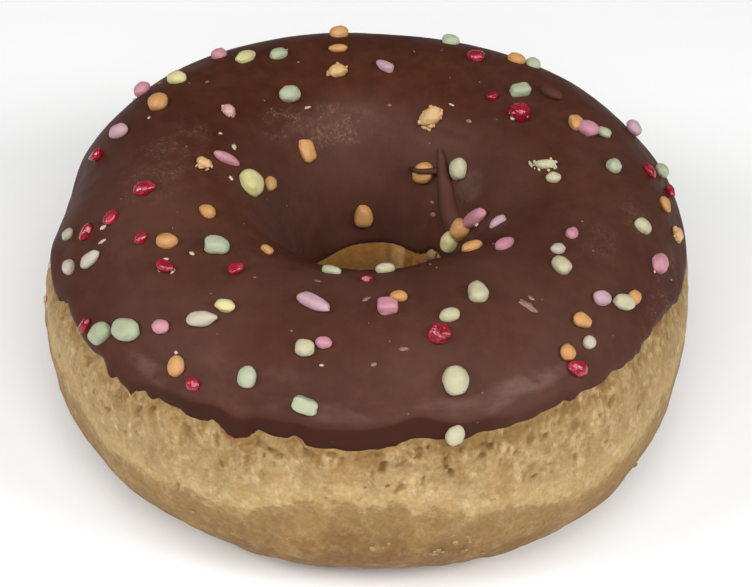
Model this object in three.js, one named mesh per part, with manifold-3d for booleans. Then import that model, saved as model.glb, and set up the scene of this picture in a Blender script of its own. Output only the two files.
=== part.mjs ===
// Ring doughnut with a coat of dark chocolate icing and sugar sprinkles, in millimetres, +Z up.
// The ring rests on its flat foot at z = 0, with its axis on the Z axis.
// A place on the ring is given by two angles: round, about the Z axis from +X,
// and over, about the middle of the ring's thickness, 0 at the outer side and 90 at the top.
import * as THREE from 'three';
import { mergeVertices } from 'three/addons/utils/BufferGeometryUtils.js';
import Module from 'manifold-3d';

// Driving dimensions of the ring
const SIDE_RADIUS = 45;
const HOLE_RADIUS = 10;
const TOP_HEIGHT = 38;
const WAIST_HEIGHT = 16;
const FOOT_DEPTH = 0.8;
const CENTRE_SHIFT = { x: 0.35, y: 0 };

// Roundness of the section: 2 is an ellipse, more is squarer
const OUTER_ROUNDNESS = 2.15;
const INNER_ROUNDNESS = 2.3;

// Uneven rise of the dough, as waves of [turns, height in mm, place of the crest in degrees]
const SIDE_WAVES = [[1, 0.36, 117], [2, 0.31, 151], [3, 0.33, 101], [4, 0.6, 154], [5, 0.27, 154]];
const TOP_WAVES = [[1, 0.17, 181], [2, 0.43, -80], [3, 0.82, 160]];

// Low lumps of the bare dough, in height
const BROAD_LUMP = 0.16;
const FINE_LUMP = 0.1;

// The coat of icing: its depth under the ring's outer face, and its rolled lip as
// [degrees from the hem, rise in mm], from inside the dough up and over to the plain coat
const ICING_DEPTH = 1.3;
const GAP = 0.3;
const LIP = [[-0.3, -1.2], [0.2, 0.4], [2.5, 0.75], [9, 0.15]];
const BLANK_DEPTH = 4;

// Lower edge of the icing on the outer side, as [round, over] in degrees
const OUTER_HEM = [
  [-170, 28.5], [-165, 28], [-160, 29.5], [-155, 33.5], [-150, 32.5], [-140, 32], [-135, 30.5],
  [-130, 32], [-125, 34.5], [-120, 34.5], [-115, 36], [-110, 33], [-105, 37.8], [-100, 38.7], [-95, 36.5],
  [-90, 36.8], [-85, 38], [-80, 41.2], [-70, 40.7], [-60, 41.8], [-50, 44], [-40, 43.8], [-30, 43.3],
  [-20, 40], [-10, 33.5], [5, 31], [25, 36], [45, 33], [65, 38], [90, 34], [110, 39], [130, 33],
  [150, 36], [170, 30],
];
// Edge of the icing inside the hole
const INNER_HEM = [
  [-150, 176], [-90, 178], [-30, 174], [0, 168], [30, 167], [45, 170], [60, 172], [80, 172], [100, 173],
  [130, 173], [145, 175], [160, 175],
];

// How finely the solids are cut into faces, and the step in degrees that finds a slope
const COLUMNS = 72;
const COVERED_ROWS = 10;
const BARE_ROWS = 18;
const COAT_ROWS = 8;
const BLANK_ROWS = 6;
const NEARBY = 0.5;
const SPIKE_SIDES = 8;

// Chocolate drawn out to a point along the wall of the hole: where it starts and where its tip lies
const SPIKE_FOOT = { round: 17, over: 144 };
const SPIKE_TIP = { round: 52.5, over: 127.5 };
const SPIKE_WIDTH = 3.2;
const SPIKE_TIP_WIDTH = 0.5;

// Sprinkles by colour, each as [round, over, length, width, turn]: its place, its length and width in
// millimetres and the turn of its length from the round direction, in degrees
const SPRINKLES = {
  orange: [
    [160, 78, 3.3, 2.9, 0], [134, 128.5, 3.3, 2.2, 80], [101.5, 72, 2.9, 2.7, 0],
    [103.5, 86, 2.9, 1.6, 0], [106, 100, 3, 2.6, 20], [60, 137.5, 3.3, 2.8, 60], [67, 117, 3.9, 3.1, 50],
    [175.5, 126, 2.2, 2, 0], [-153.5, 98, 2.3, 1.8, 35], [-147.5, 80, 3, 2.3, 50],
    [-131, 109, 1.9, 1.2, 0], [-125, 49, 2.8, 2.4, 90], [4, 141, 3.2, 2.6, 30], [-46, 116, 3, 1.9, -20],
    [57, 74, 2.8, 2.2, 0], [27, 85, 2.5, 2, 0], [6, 53, 2.5, 2, 35], [-82.5, 91, 2.3, 1.7, -10],
    [-44, 64.5, 2.8, 2.2, -35], [-50.5, 58, 2.3, 2.1, 90], [-175.5, 100, 2.5, 2, 80],
    [1.5, 44, 2.6, 2.2, 0], [-28, 58, 2.3, 2, 0], [100, 159.5, 3.1, 2.3, 80],
  ],
  pink: [
    [132, 71, 2.5, 2.3, 0], [151.5, 61, 2.8, 2.5, 0], [168.5, 69, 3.1, 2.2, 90], [154, 101, 2.5, 2.2, 50],
    [179, 106.5, 4, 1.8, 92], [90, 97.5, 3.1, 1.9, -35], [24, 82, 3, 2.7, 40], [28, 55, 2.9, 2.3, 0],
    [0, 132, 3.8, 2.2, 60], [-17, 117.5, 2.8, 1.5, 140], [-40, 105, 3.3, 2.2, -5], [-23, 88, 2.1, 1.8, 0],
    [-13.5, 54, 3.2, 2.8, 0], [-105, 88.5, 4.6, 2.3, -22], [-132, 57.5, 2.6, 2, 20],
    [-99, 72, 2.2, 1.7, 0], [-85.5, 86.5, 2.7, 2.4, 0], [-37.5, 66.5, 2.8, 2.2, -33],
  ],
  red: [
    [174, 60, 2.7, 2, 90], [-166, 80.5, 3.2, 2.4, 90], [-162, 67, 2.6, 1.9, 118],
    [-163.5, 56, 2.8, 1.7, 118], [-152, 73, 2.4, 1.7, 110], [-141.5, 74, 3, 2.2, 20],
    [-129, 91, 2.4, 1.8, 75], [-91.5, 102.5, 1.8, 1.2, 0], [-148, 36.5, 2.4, 1.5, 80],
    [-120.5, 46, 2, 1.9, 0], [-75, 74, 3.5, 3, 0], [67, 82.5, 2.6, 2.2, 0], [50.5, 101, 2.1, 1.4, 60],
    [38.5, 99, 3.5, 3.2, 0], [14, 59, 2.6, 1.6, 40], [14, 45, 2.5, 1.6, 0], [-48, 51.5, 3, 2.4, -30],
  ],
  mint: [
    [121.5, 84, 2.9, 2, 10], [127, 107, 3.3, 2.8, 0], [-139, 93, 3.6, 2.7, 70],
    [-104.5, 109, 2.9, 1.9, -15], [-143.5, 39, 3.8, 2.3, 70], [-138, 49, 4.2, 3, 24],
    [-111.5, 55, 3, 2.6, 100], [-100, 50, 3.4, 2.2, -12], [74.5, 72, 2.8, 2.3, 0],
    [53.5, 71, 2.4, 2.2, 0], [46, 92, 3, 2.1, 60], [23, 76, 2.3, 1.6, 55], [12, 102, 3.3, 2, 80],
    [10, 77, 2.4, 2.3, 0], [17, 48, 2.4, 2.2, 0], [-61.5, 87, 3.3, 2.9, 60],
  ],
  lemon: [
    [129, 81.5, 3.5, 2.2, 10], [147.5, 74, 3.1, 2.5, 90], [-175, 117, 3.9, 3.4, 35],
    [-123, 75.5, 2.8, 1.9, 15],
  ],
  cream: [
    [-168, 47, 2.4, 1.6, 70], [-156.5, 54, 3.3, 1.9, 80], [-160.5, 43.5, 2.3, 2.1, 0],
    [-125.5, 68.5, 4.1, 2.1, 33], [-102.5, 69, 2.7, 2.4, 0], [-85, 111, 2.7, 1.7, 5],
    [14, 154, 3, 2.5, 20], [40, 130.5, 3.6, 2.4, 126], [4.5, 99.5, 2.2, 1.8, 80], [-6, 65, 2.7, 2.3, 90],
    [-32, 88.5, 2.1, 1.6, -42], [-35.5, 83.5, 3.1, 2.7, 70], [-71.5, 80.5, 2.8, 2, 5],
    [-73.5, 59, 3.9, 3.6, 80], [-74.5, 41.5, 2.8, 2.5, 60], [-31.5, 61, 3.1, 2.2, -35],
    [-46, 57.5, 1.9, 1.8, 0],
  ],
};

// Coated sprinkle that shows only as a bump under the icing
const BUMPS = [[40.5, 84, 3.8, 2, 15]];

// Sprinkles on the far side, which a spiral spreads evenly
const FAR_COUNT = 9;
const FAR_ROUND = { from: 48, to: 136 };
const FAR_OVER = { from: 38, to: 44 };
const FAR_LENGTH = 2.8;
const FAR_SPREAD = 0.9;
const FAR_WIDTH = 2.3;
const GOLDEN_PART = 0.618;

const SPRINKLE_LIFT = 0.22;
const SPRINKLE_THICKNESS = 0.85;
const ROUGHNESS = 0.1;
const SEED = 7;

const wasm = await Module();
wasm.setup();

const radians = THREE.MathUtils.degToRad;

// Repeatable random numbers from 0 to 1
function seededRandom(seed) {
  let state = seed;
  return () => {
    state = (state * 16807) % 2147483647;
    return state / 2147483647;
  };
}

// Sum of the waves at a round angle
function swell(waves, round) {
  const heights = waves.map(([turns, height, crest]) => height * Math.cos(radians(turns * round - crest)));
  return heights.reduce((sum, height) => sum + height, 0);
}

// Value between the stations of a hem, eased from one to the next, all the way round
function hemAt(stations, round) {
  const first = stations[0][0];
  const angle = THREE.MathUtils.euclideanModulo(round - first, 360) + first;
  const wrapped = [...stations, [first + 360, stations[0][1]]];
  const next = wrapped.findIndex(([station]) => station > angle);
  const [fromRound, fromOver] = wrapped[next - 1];
  const [toRound, toOver] = wrapped[next];
  const part = THREE.MathUtils.smoothstep(angle, fromRound, toRound);
  return THREE.MathUtils.lerp(fromOver, toOver, part);
}

// Point of the ring at its round and over angles, raised by rise millimetres, and never below the foot
function ringPoint(round, over, rise = 0) {
  const cosOver = Math.cos(radians(over));
  const sinOver = Math.sin(radians(over));
  const side = SIDE_RADIUS + swell(SIDE_WAVES, round);
  const halfWidth = (side - HOLE_RADIUS) / 2;
  const middle = (side + HOLE_RADIUS) / 2;
  const halfHeight = sinOver > 0
    ? TOP_HEIGHT + swell(TOP_WAVES, round) - WAIST_HEIGHT
    : WAIST_HEIGHT + FOOT_DEPTH;
  const roundness = sinOver > 0 && cosOver < 0 ? INNER_ROUNDNESS : OUTER_ROUNDNESS;
  const size = Math.abs(cosOver / halfWidth) ** roundness
    + Math.abs(sinOver / halfHeight) ** roundness;
  const reach = size ** (-1 / roundness) + rise;
  const radius = middle + reach * cosOver;
  return new THREE.Vector3(
    radius * Math.cos(radians(round)) + CENTRE_SHIFT.x,
    radius * Math.sin(radians(round)) + CENTRE_SHIFT.y,
    Math.max(WAIST_HEIGHT + reach * sinOver, 0),
  );
}

// Axes of the surface at a place: along the round direction, along the over direction, and outward
function surfaceAxes(round, over) {
  const along = ringPoint(round + NEARBY, over).sub(ringPoint(round - NEARBY, over)).normalize();
  const across = ringPoint(round, over + NEARBY).sub(ringPoint(round, over - NEARBY)).normalize();
  return new THREE.Matrix4().makeBasis(along, across, along.clone().cross(across).normalize());
}

// Ring whose rows are moved to the over angle and rise that place(round, row) gives
function shapedRing(rows, place) {
  const ring = new THREE.TorusGeometry(SIDE_RADIUS - HOLE_RADIUS, HOLE_RADIUS, rows, COLUMNS);
  for (let row = 0; row <= rows; row += 1) {
    for (let column = 0; column <= COLUMNS; column += 1) {
      const round = ((column % COLUMNS) * 360) / COLUMNS;
      const { over, rise } = place(round, row % rows);
      ring.attributes.position.setXYZ(row * (COLUMNS + 1) + column, ...ringPoint(round, over, rise));
    }
  }
  return ring;
}

// Low lumps of the bare crumb and crust
function lumps(round, over) {
  const broad = Math.sin(radians(9 * round + 3 * over)) * Math.cos(radians(5 * over - 2 * round));
  const fine = Math.sin(radians(23 * round - 6 * over));
  return BROAD_LUMP * broad + FINE_LUMP * fine;
}

// Place of one row of the dough: the first rows lie under the icing, the others are bare
function doughPlace(round, row, grow) {
  const outer = hemAt(OUTER_HEM, round);
  const inner = hemAt(INNER_HEM, round);
  if (row < COVERED_ROWS) {
    const over = THREE.MathUtils.lerp(outer, inner, row / COVERED_ROWS);
    const rise = row === 0 ? -ICING_DEPTH / 2 : -ICING_DEPTH - GAP;
    return { over, rise: rise + grow };
  }
  const part = (row - COVERED_ROWS) / BARE_ROWS;
  const over = THREE.MathUtils.lerp(inner, outer + 360, part);
  const rise = part === 0 ? -ICING_DEPTH / 2 : lumps(round, over) * Math.sin(Math.PI * part);
  return { over, rise: rise + grow };
}

// Place of one row of the icing's blank: the lip, the coat, the inner lip, and then back inside the
// dough, which cuts that side off afterwards
function icingPlace(round, row) {
  const outer = hemAt(OUTER_HEM, round);
  const inner = hemAt(INNER_HEM, round);
  const innerLip = LIP.length + COAT_ROWS;
  const back = innerLip + LIP.length;
  if (row < LIP.length) {
    const [degrees, rise] = LIP[row];
    return { over: outer + degrees, rise };
  }
  const [lipEnd, coatRise] = LIP[LIP.length - 1];
  if (row < innerLip) {
    const part = (row - LIP.length + 1) / (COAT_ROWS + 1);
    return { over: THREE.MathUtils.lerp(outer + lipEnd, inner - lipEnd, part), rise: coatRise };
  }
  if (row < back) {
    const [degrees, rise] = LIP[back - 1 - row];
    return { over: inner - degrees, rise };
  }
  const part = (row - back + 0.5) / BLANK_ROWS;
  return { over: THREE.MathUtils.lerp(inner, outer, part), rise: -BLANK_DEPTH };
}

// Geometry with nothing but its positions, so that shared corners can be merged
function barePositions(geometry) {
  const bare = geometry.clone();
  bare.deleteAttribute('normal');
  bare.deleteAttribute('uv');
  return bare;
}

// Closed mesh as a solid that can be joined and cut
function toSolid(geometry) {
  const merged = mergeVertices(barePositions(geometry));
  return new wasm.Manifold(new wasm.Mesh({
    numProp: 3,
    vertProperties: new Float32Array(merged.attributes.position.array),
    triVerts: new Uint32Array(merged.index.array),
  }));
}

// Solid back as a geometry
function toGeometry(solid) {
  const { vertProperties, triVerts } = solid.getMesh();
  const geometry = new THREE.BufferGeometry();
  geometry.setAttribute('position', new THREE.BufferAttribute(vertProperties, 3));
  geometry.setIndex(new THREE.BufferAttribute(triVerts, 1));
  geometry.computeVertexNormals();
  return geometry;
}

// The dough, or, with grow, the dough and the gap that the icing keeps to it
function doughGeometry(grow = 0) {
  return shapedRing(COVERED_ROWS + BARE_ROWS, (round, row) => doughPlace(round, row, grow));
}

// The blank that the coat of icing is cut from
function icingBlank() {
  const rows = 2 * LIP.length + COAT_ROWS + BLANK_ROWS;
  return shapedRing(rows, icingPlace);
}

// One rough sugar nugget, half sunk in the icing
function sprinkle([round, over, length, width, turn], random) {
  const nugget = mergeVertices(barePositions(new THREE.IcosahedronGeometry(0.5, 0)));
  const corners = nugget.attributes.position;
  const corner = new THREE.Vector3();
  for (let index = 0; index < corners.count; index += 1) {
    corner.fromBufferAttribute(corners, index).multiplyScalar(1 + ROUGHNESS * (2 * random() - 1));
    corners.setXYZ(index, ...corner);
  }
  nugget.scale(length, width, width * SPRINKLE_THICKNESS);
  nugget.rotateZ(radians(turn));
  nugget.applyMatrix4(surfaceAxes(round, over));
  nugget.translate(...ringPoint(round, over, width * SPRINKLE_LIFT));
  return nugget;
}

// Sprinkles of the far side, spread by the golden angle with a little scatter
function farSprinkles(random) {
  const span = FAR_ROUND.to - FAR_ROUND.from;
  return Array.from({ length: FAR_COUNT }, (_, index) => [
    FAR_ROUND.from + (span * (index + 0.8 * random())) / FAR_COUNT,
    THREE.MathUtils.lerp(FAR_OVER.from, FAR_OVER.to, (index * GOLDEN_PART) % 1),
    FAR_LENGTH + FAR_SPREAD * (random() - 0.5),
    FAR_WIDTH,
    180 * random(),
  ]);
}

// Tapered spike of chocolate, from its foot on the wall of the hole to its tip
function spikeGeometry() {
  const foot = ringPoint(SPIKE_FOOT.round, SPIKE_FOOT.over);
  const tip = ringPoint(SPIKE_TIP.round, SPIKE_TIP.over);
  const reach = tip.clone().sub(foot);
  const radii = [SPIKE_TIP_WIDTH / 2, SPIKE_WIDTH / 2];
  const spike = new THREE.CylinderGeometry(...radii, reach.length(), SPIKE_SIDES);
  const upright = new THREE.Vector3(0, 1, 0);
  spike.applyQuaternion(new THREE.Quaternion().setFromUnitVectors(upright, reach.clone().normalize()));
  spike.translate(...foot.add(reach.multiplyScalar(0.5)));
  return spike;
}

// The icing with its sprinkles and spike fused on, cut back to the gap from the dough
function icingGeometry() {
  const random = seededRandom(SEED);
  const toppings = [...Object.values(SPRINKLES).flat(), ...BUMPS, ...farSprinkles(random)];
  const pieces = [...toppings.map((row) => sprinkle(row, random)), spikeGeometry()];
  const whole = pieces.reduce((solid, piece) => solid.add(toSolid(piece)), toSolid(icingBlank()));
  return toGeometry(whole.subtract(toSolid(doughGeometry(GAP))));
}

// Named mesh in its own plain material
function part(name, geometry, color, roughness) {
  const material = new THREE.MeshStandardMaterial({ color, roughness, metalness: 0 });
  const mesh = new THREE.Mesh(geometry, material);
  mesh.name = name;
  return mesh;
}

const doughnut = new THREE.Group();
doughnut.add(part('dough_ring', doughGeometry(), '#c3a26f', 0.85));
doughnut.add(part('chocolate_icing', icingGeometry(), '#58342c', 0.4));

export default doughnut;
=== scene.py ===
"""Chocolate doughnut with sugar sprinkles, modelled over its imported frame."""

import math
import random

import bmesh
import bpy
import numpy as np
from bpy.props import FloatProperty, FloatVectorProperty, PointerProperty
from mathutils import Matrix, Vector, noise


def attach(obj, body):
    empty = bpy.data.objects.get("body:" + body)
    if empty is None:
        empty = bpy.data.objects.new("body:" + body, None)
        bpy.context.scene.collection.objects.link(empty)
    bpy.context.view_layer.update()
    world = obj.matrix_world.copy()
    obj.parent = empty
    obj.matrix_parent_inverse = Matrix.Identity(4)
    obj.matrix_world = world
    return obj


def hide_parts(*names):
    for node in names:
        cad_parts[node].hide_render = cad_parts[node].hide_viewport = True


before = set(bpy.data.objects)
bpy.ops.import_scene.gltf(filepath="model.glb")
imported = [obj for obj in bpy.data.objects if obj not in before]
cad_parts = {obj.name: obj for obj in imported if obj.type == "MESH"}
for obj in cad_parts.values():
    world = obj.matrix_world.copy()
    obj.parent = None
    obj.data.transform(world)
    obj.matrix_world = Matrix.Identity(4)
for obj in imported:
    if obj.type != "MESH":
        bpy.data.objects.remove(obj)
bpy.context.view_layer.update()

bl_info = {
    "name": "Chocolate Doughnut",
    "version": (1, 0, 0),
    "blender": (4, 5, 0),
    "location": "View3D > Sidebar > Doughnut",
    "description": "Makes an iced ring doughnut with sugar sprinkles over its frame",
    "category": "Object",
}

MM = 0.001

# Places on the ring are given by two angles in degrees: round, about the Z axis from +X, and over,
# about the middle of the ring's thickness, 0 at the outer side and 90 at the top.

# Uneven rise of the dough, as waves of turns, height in mm and place of the crest in degrees
SIDE_WAVES = ((1, 0.36, 117), (2, 0.31, 151), (3, 0.33, 101), (4, 0.6, 154), (5, 0.27, 154))
TOP_WAVES = ((1, 0.17, 181), (2, 0.43, -80), (3, 0.82, 160))
# Flatter stretch of the side: round angles where it begins and ends, ease at each end, and depth in mm
FLAT_STRETCH = (167, 183, 7, 1.3)

# Lower edge of the icing on the outer side, as round and over angles
OUTER_HEM = (
    (-170, 28.5), (-165, 28), (-160, 29), (-157.5, 32.5), (-155.5, 34.3), (-154, 33.3), (-152, 32.5),
    (-145, 32.1), (-140.5, 33), (-139, 32), (-138, 29.7), (-137.3, 29.5), (-136, 31.5), (-134.8, 30.4),
    (-133, 30.3), (-132, 29.2), (-131.2, 32), (-129, 34.6), (-128.4, 33.3), (-127.5, 33.2),
    (-126.3, 34.9), (-125, 34.5), (-122, 35.1), (-120.4, 34), (-118, 35), (-116.2, 35.6), (-115.7, 37),
    (-114.7, 36.3), (-113.4, 34.5), (-112.4, 33), (-111, 32.5), (-110, 33.6), (-109, 34), (-108.3, 35.9),
    (-107.3, 38.2), (-104.5, 37.7), (-102.5, 38), (-101.2, 39.4), (-100, 38.8), (-99, 36.6),
    (-97.3, 36.3), (-93.5, 36.5), (-90.2, 36.7), (-87.4, 37.4), (-84.6, 38.3), (-83, 40.3), (-81.5, 41.3),
    (-79, 41.1), (-76, 40.3), (-73, 40), (-70, 41.2), (-67.8, 40.9), (-65, 41.3), (-62, 41.8),
    (-60, 41.8), (-58.5, 42.6), (-55, 43.5), (-53.9, 43.7), (-52.9, 42.5), (-52, 42.9), (-50.5, 44.1),
    (-47.5, 43.2), (-45.5, 42.9), (-43.3, 43.6), (-41.7, 44.1), (-38.5, 43), (-36, 42), (-34.8, 42.6),
    (-33.6, 42.1), (-32.5, 43.4), (-29.5, 43.1), (-27, 43.6), (-25, 42.7), (-22.3, 41.5), (-20, 40.6),
    (-19.2, 39.6), (-16.5, 38.5), (-12.5, 34.5), (-9, 32.8), (-5, 31.5), (5, 31), (25, 36), (45, 33),
    (65, 38), (90, 34), (110, 39), (130, 33), (150, 36), (170, 30),
)
# Edge of the icing inside the hole
INNER_HEM = (
    (-150, 177), (-90, 178), (-30, 174), (0, 166), (20, 165), (30, 165.5), (37, 167.5), (45, 171), (50, 173),
    (55, 174), (62, 174.2), (69, 173.2), (75, 172.5), (81, 172.8), (87, 173.6), (93, 174.2), (100, 174.6),
    (106, 175.3), (112, 176.2), (118, 176.8), (126, 177.6), (133, 178.4), (147, 178.4), (160, 178),
)

# Sprinkles by colour: round and over angles, length and width in mm, turn of the length from the round
# direction where there is one, and form where it isn't a ball
SPRINKLES = {
    "orange": (
        (160, 78, 3.3, 2.9), (134, 128.5, 3.4, 2.3, 84, "block"), (101.5, 72, 2.9, 2.7),
        (103.5, 86, 2.9, 1.6, 0, "drop"), (106, 100, 3, 2.6, 20, "ragged"), (60, 137.5, 3.5, 3.0, 60),
        (67, 117, 3.9, 3.1, 50, "ragged"), (175.5, 124.5, 2.3, 2), (-153.5, 98, 2.5, 2.2, 215, "drop"),
        (-147.5, 80, 3, 2.3, 50), (-131, 109, 1.9, 1.2, 0, "block"), (-125, 49, 2.9, 2.7, 110, "drop"),
        (4.5, 141.3, 3.2, 3.6, 0, "wedge"), (-46, 114, 3.1, 1.9, -20), (57, 74, 2.8, 2.2),
        (27, 85, 2.5, 2, 0, "block"), (6, 53, 2.5, 2, -145, "drop"), (-82.5, 91, 2.3, 1.7, -10),
        (-44, 64.5, 2.7, 2.3, -50, "wedge"), (-50.5, 58, 2.3, 2.1, 90), (-175.5, 100, 2.5, 2, 80, "ragged"),
        (1.5, 44, 2.6, 2.2, 0, "ragged"), (-28, 58, 2.3, 2), (100, 159.5, 3.6, 3.2, -80, "wedge"),
    ),
    "pink": (
        (132, 71, 2.5, 2.3), (150.8, 61, 2.8, 2.6), (154, 101, 2.5, 2.2, 50, "ragged"),
        (179, 106.5, 4, 1.8, 92, "drop"), (24, 82, 3, 2.7, 40), (0, 132, 5.4, 2.4, 74),
        (-40, 104, 3.3, 2.2, -5, "drop"), (-23, 88, 2.1, 1.8), (-13.5, 54, 3.2, 2.8),
        (-132, 57.5, 2.6, 2, 20), (-99, 72, 2.2, 1.7), (-85.5, 86.5, 2.7, 2.4, 0, "block"),
    ),
    "lilac": (
        (168.8, 66.3, 3.2, 2.3, 90), (90, 97.5, 3.1, 1.9, -35, "wedge"),
        (29.5, 53.5, 2.8, 2.6, 180, "wedge"), (-19.5, 117, 2.7, 1.8, 140, "wedge"),
        (-104, 87.2, 5.1, 2.4, -22, "wedge"), (-36, 66.3, 2.8, 2.2, -33),
    ),
    "red": (
        (172.4, 56.5, 2.8, 2, 90, "glassy"), (-166, 80.5, 3.2, 2.4, 90, "glassy"),
        (-162, 67, 2.6, 1.9, 118, "glassy"), (-163.5, 56, 2.8, 1.7, 118, "glassy"),
        (-152, 73, 2.4, 1.7, 110, "glassy"), (-141.5, 74, 3, 1.9, 20, "glassy"),
        (-129, 91, 2.4, 1.8, 75, "glassy"), (-91.5, 102.5, 1.8, 1.2, 0, "glassy"),
        (-147, 38, 2.5, 1.7, 80, "glassy"), (-120.5, 46, 2.1, 1.9), (-75, 74, 3.5, 3, 0, "cluster"),
        (65, 83.5, 2.7, 2.4, 0, "glassy"), (50.5, 101, 2.1, 1.4, 60, "glassy"),
        (38, 100.5, 3.6, 3.3, 0, "cluster"), (14, 59, 2.6, 1.6, 40, "glassy"),
        (14, 45, 2.5, 1.6, 0, "glassy"), (-50, 51.8, 3, 2.4, -30, "glassy"),
    ),
    "mint": (
        (120.4, 85.2, 2.9, 2.1, 10), (127, 107, 3.3, 2.8), (-139, 93, 3.5, 3.2, 40, "wedge"),
        (-104.5, 109, 2.9, 1.9, -15, "wedge"), (-142.6, 41, 4.1, 2.7, 62), (-138, 49, 4.7, 3.1, 24),
        (-111.5, 55, 3, 2.6, 100), (-100, 50, 3.4, 2.2, -12, "block"), (74.5, 72, 2.8, 2.3),
        (53.5, 71, 2.4, 2.2), (46, 92, 3, 2.1, 60, "block"), (23, 76, 2.3, 1.6, 55),
        (12, 102, 3.3, 2, 80, "ragged"), (10, 77, 2.4, 2.3), (18.4, 48, 2.4, 2.2),
    ),
    "lemon": (
        (129, 81.5, 3.5, 2.2, 10), (147.5, 74, 3.1, 2.5, 90), (-173.6, 117.3, 4.2, 3.5, 35),
        # The last one sits in the hole's shade and takes the brighter lemon sugar, partly for its pale yellow
        # and partly as painted light
        (-123, 75.5, 2.8, 1.9, 15), (8.5, 150.5, 3.0, 3.4),
    ),
    "cream": (
        (-102.5, 69, 2.7, 2.4), (-85, 111, 2.7, 1.7, 5), (-62.5, 87, 3.5, 3.0, 75, "wedge"),
        (39.5, 130.5, 3.3, 2.6, 126), (4.5, 99.5, 2.2, 1.8, 80), (-7.4, 65, 2.7, 2.3, 90),
        (-37.3, 83.3, 3.1, 2.7, 70, "wedge"), (-71.5, 80.5, 2.8, 2, 5), (-73.5, 59, 3.9, 3.6, 80),
        (-74.5, 41.5, 2.8, 2.5, 60), (-31.5, 60, 3.8, 2.3, -38),
    ),
    "white": (
        (-168, 47, 2.4, 1.6, 70), (-156.5, 54, 3.5, 2.2, 80, "drop"), (-160.5, 43.5, 2.3, 2.1),
        (-125.5, 67.2, 4.1, 2.5, 33, "drop"), (-45, 57.5, 1.9, 1.8), (-32, 88.5, 2.1, 1.8, -42),
    ),
}

# Colour of crushed sugar
CRUSHED_SUGAR = (0.74, 0.57, 0.32)

# Form of a nugget: how much one end narrows, how square it is, how many flats it has and how close
# to the middle they come
FORMS = {
    "ball": (0.05, 2.1, 4, 0.88),
    "drop": (0.24, 2.0, 2, 0.9),
    "block": (0.05, 3.3, 3, 0.93),
    "wedge": (0.3, 2.3, 4, 0.84),
    "ragged": (0.1, 2.2, 6, 0.8),
    "glassy": (0.15, 2.2, 11, 0.7),
}

# Line on the side below which the dough is baked brown, as round and over angles
CRUST_LINE = (
    (-170, 8), (-156, 2), (-147, 0), (-139, -5), (-130, -3), (-124, -6), (-118, 0), (-113, -2), (-107, 4),
    (-101, 11), (-92, 16), (-86.5, 11), (-83, 15), (-80.8, 7), (-76.8, 12), (-71.8, 5), (-63, 3), (-56, 0),
    (-49, -1), (-42, 3), (-36, 3), (-26, 5), (-14, 5), (10, 2), (40, 6), (75, 0), (110, 5), (150, 3),
)

# Open pores of the near side: round and over angles, width, height and depth in mm, and lean to the left
PORES = (
    (-86.3, 30, 1.2, 2.2, 0.9, 22), (-83.4, 31.5, 1.8, 1.0, 0.4, 10), (-80.3, 35, 1.2, 2.7, 0.7, -8),
    (-76, 31.6, 0.8, 2.5, 0.8, 5), (-74.9, 26, 0.8, 1.6, 0.7, 10), (-79.6, 24, 0.45, 2.2, 0.4, -6),
    (-98.5, 34, 1.7, 1.6, 0.7, 0), (-95, 33.8, 1.4, 1.0, 0.4, 0), (-92.9, 33.4, 0.8, 1.2, 0.4, -10),
    (-90.8, 33, 0.9, 1.4, 0.35, 15), (-87.4, 34.8, 0.6, 1.0, 0.5, 0), (-88.6, 34.5, 0.5, 0.9, 0.4, 0),
    (-83.2, 21.6, 1.6, 1.8, 0.35, -12), (-89, 21, 0.5, 0.6, 0.35, 0), (-85.4, 21.8, 0.5, 0.5, 0.3, 0),
    (-78.8, 37.5, 0.8, 1.3, 0.6, 0), (-84.2, 36.4, 0.5, 1.0, 0.5, 0), (-73.2, 36.5, 0.6, 1.6, 0.5, 0),
    (-105, 32, 2.0, 1.5, 0.8, -25), (-103.6, 30, 1.5, 0.9, 0.6, 30), (-105.8, 29, 0.8, 1.6, 0.5, 10),
    (-69, 34.8, 1.7, 1.7, 0.9, -12), (-69.7, 31.8, 0.9, 1.2, 0.8, 0), (-58.1, 33, 1.0, 1.5, 0.7, 10),
    (-60.8, 34.6, 1.0, 1.6, 0.4, 0), (-55.4, 34.6, 0.6, 2.6, 0.4, -5), (-53.8, 41, 0.5, 1.8, 0.4, 0),
    (-52.2, 33, 1.3, 1.8, 0.35, 0), (-44, 33.7, 1.2, 1.5, 0.6, 0), (-36.7, 20.4, 0.9, 1.6, 0.6, -30),
    (-48.4, 24, 0.5, 0.6, 0.5, 0), (-52.7, 18.5, 0.8, 1.3, 0.5, 0), (-57.6, 20.5, 0.5, 0.9, 0.4, 0),
    (-60.6, 17, 1.0, 1.0, 0.4, 0), (-47, 31.5, 0.6, 0.8, 0.4, 0), (-45, 37, 0.6, 0.7, 0.3, 0),
    (-64, 30.5, 0.7, 0.9, 0.35, 0), (-65.2, 32.6, 0.45, 1.5, 0.35, -8), (-34.8, 28, 0.6, 0.6, 0.3, 0),
    (-31.6, 26.5, 0.5, 1.8, 0.4, -15), (-46, 18, 1.4, 0.8, 0.3, 0), (-42.5, 24, 0.5, 1.4, 0.35, 20),
    (-130, 24.2, 0.9, 2.2, 0.7, -18), (-126.9, 29.5, 0.5, 1.0, 0.5, -8), (-129.4, 15.5, 0.5, 0.6, 0.4, 0),
    (-119.9, 28.5, 1.0, 3.4, 0.45, 4), (-114.2, 30, 0.6, 3.6, 0.5, 6), (-112.6, 19.8, 0.5, 1.3, 0.6, 12),
    (-107.2, 33.5, 0.7, 2.0, 0.6, 0), (-144.9, 25.5, 1.4, 2.8, 0.5, -6), (-156.5, 26, 1.2, 1.0, 0.4, 0),
    (-144.6, 20.5, 0.7, 0.7, 0.35, 0), (-161.5, 27, 0.6, 0.9, 0.4, 0), (-137, 14, 1.6, 1.6, 0.35, 0),
)


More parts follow.
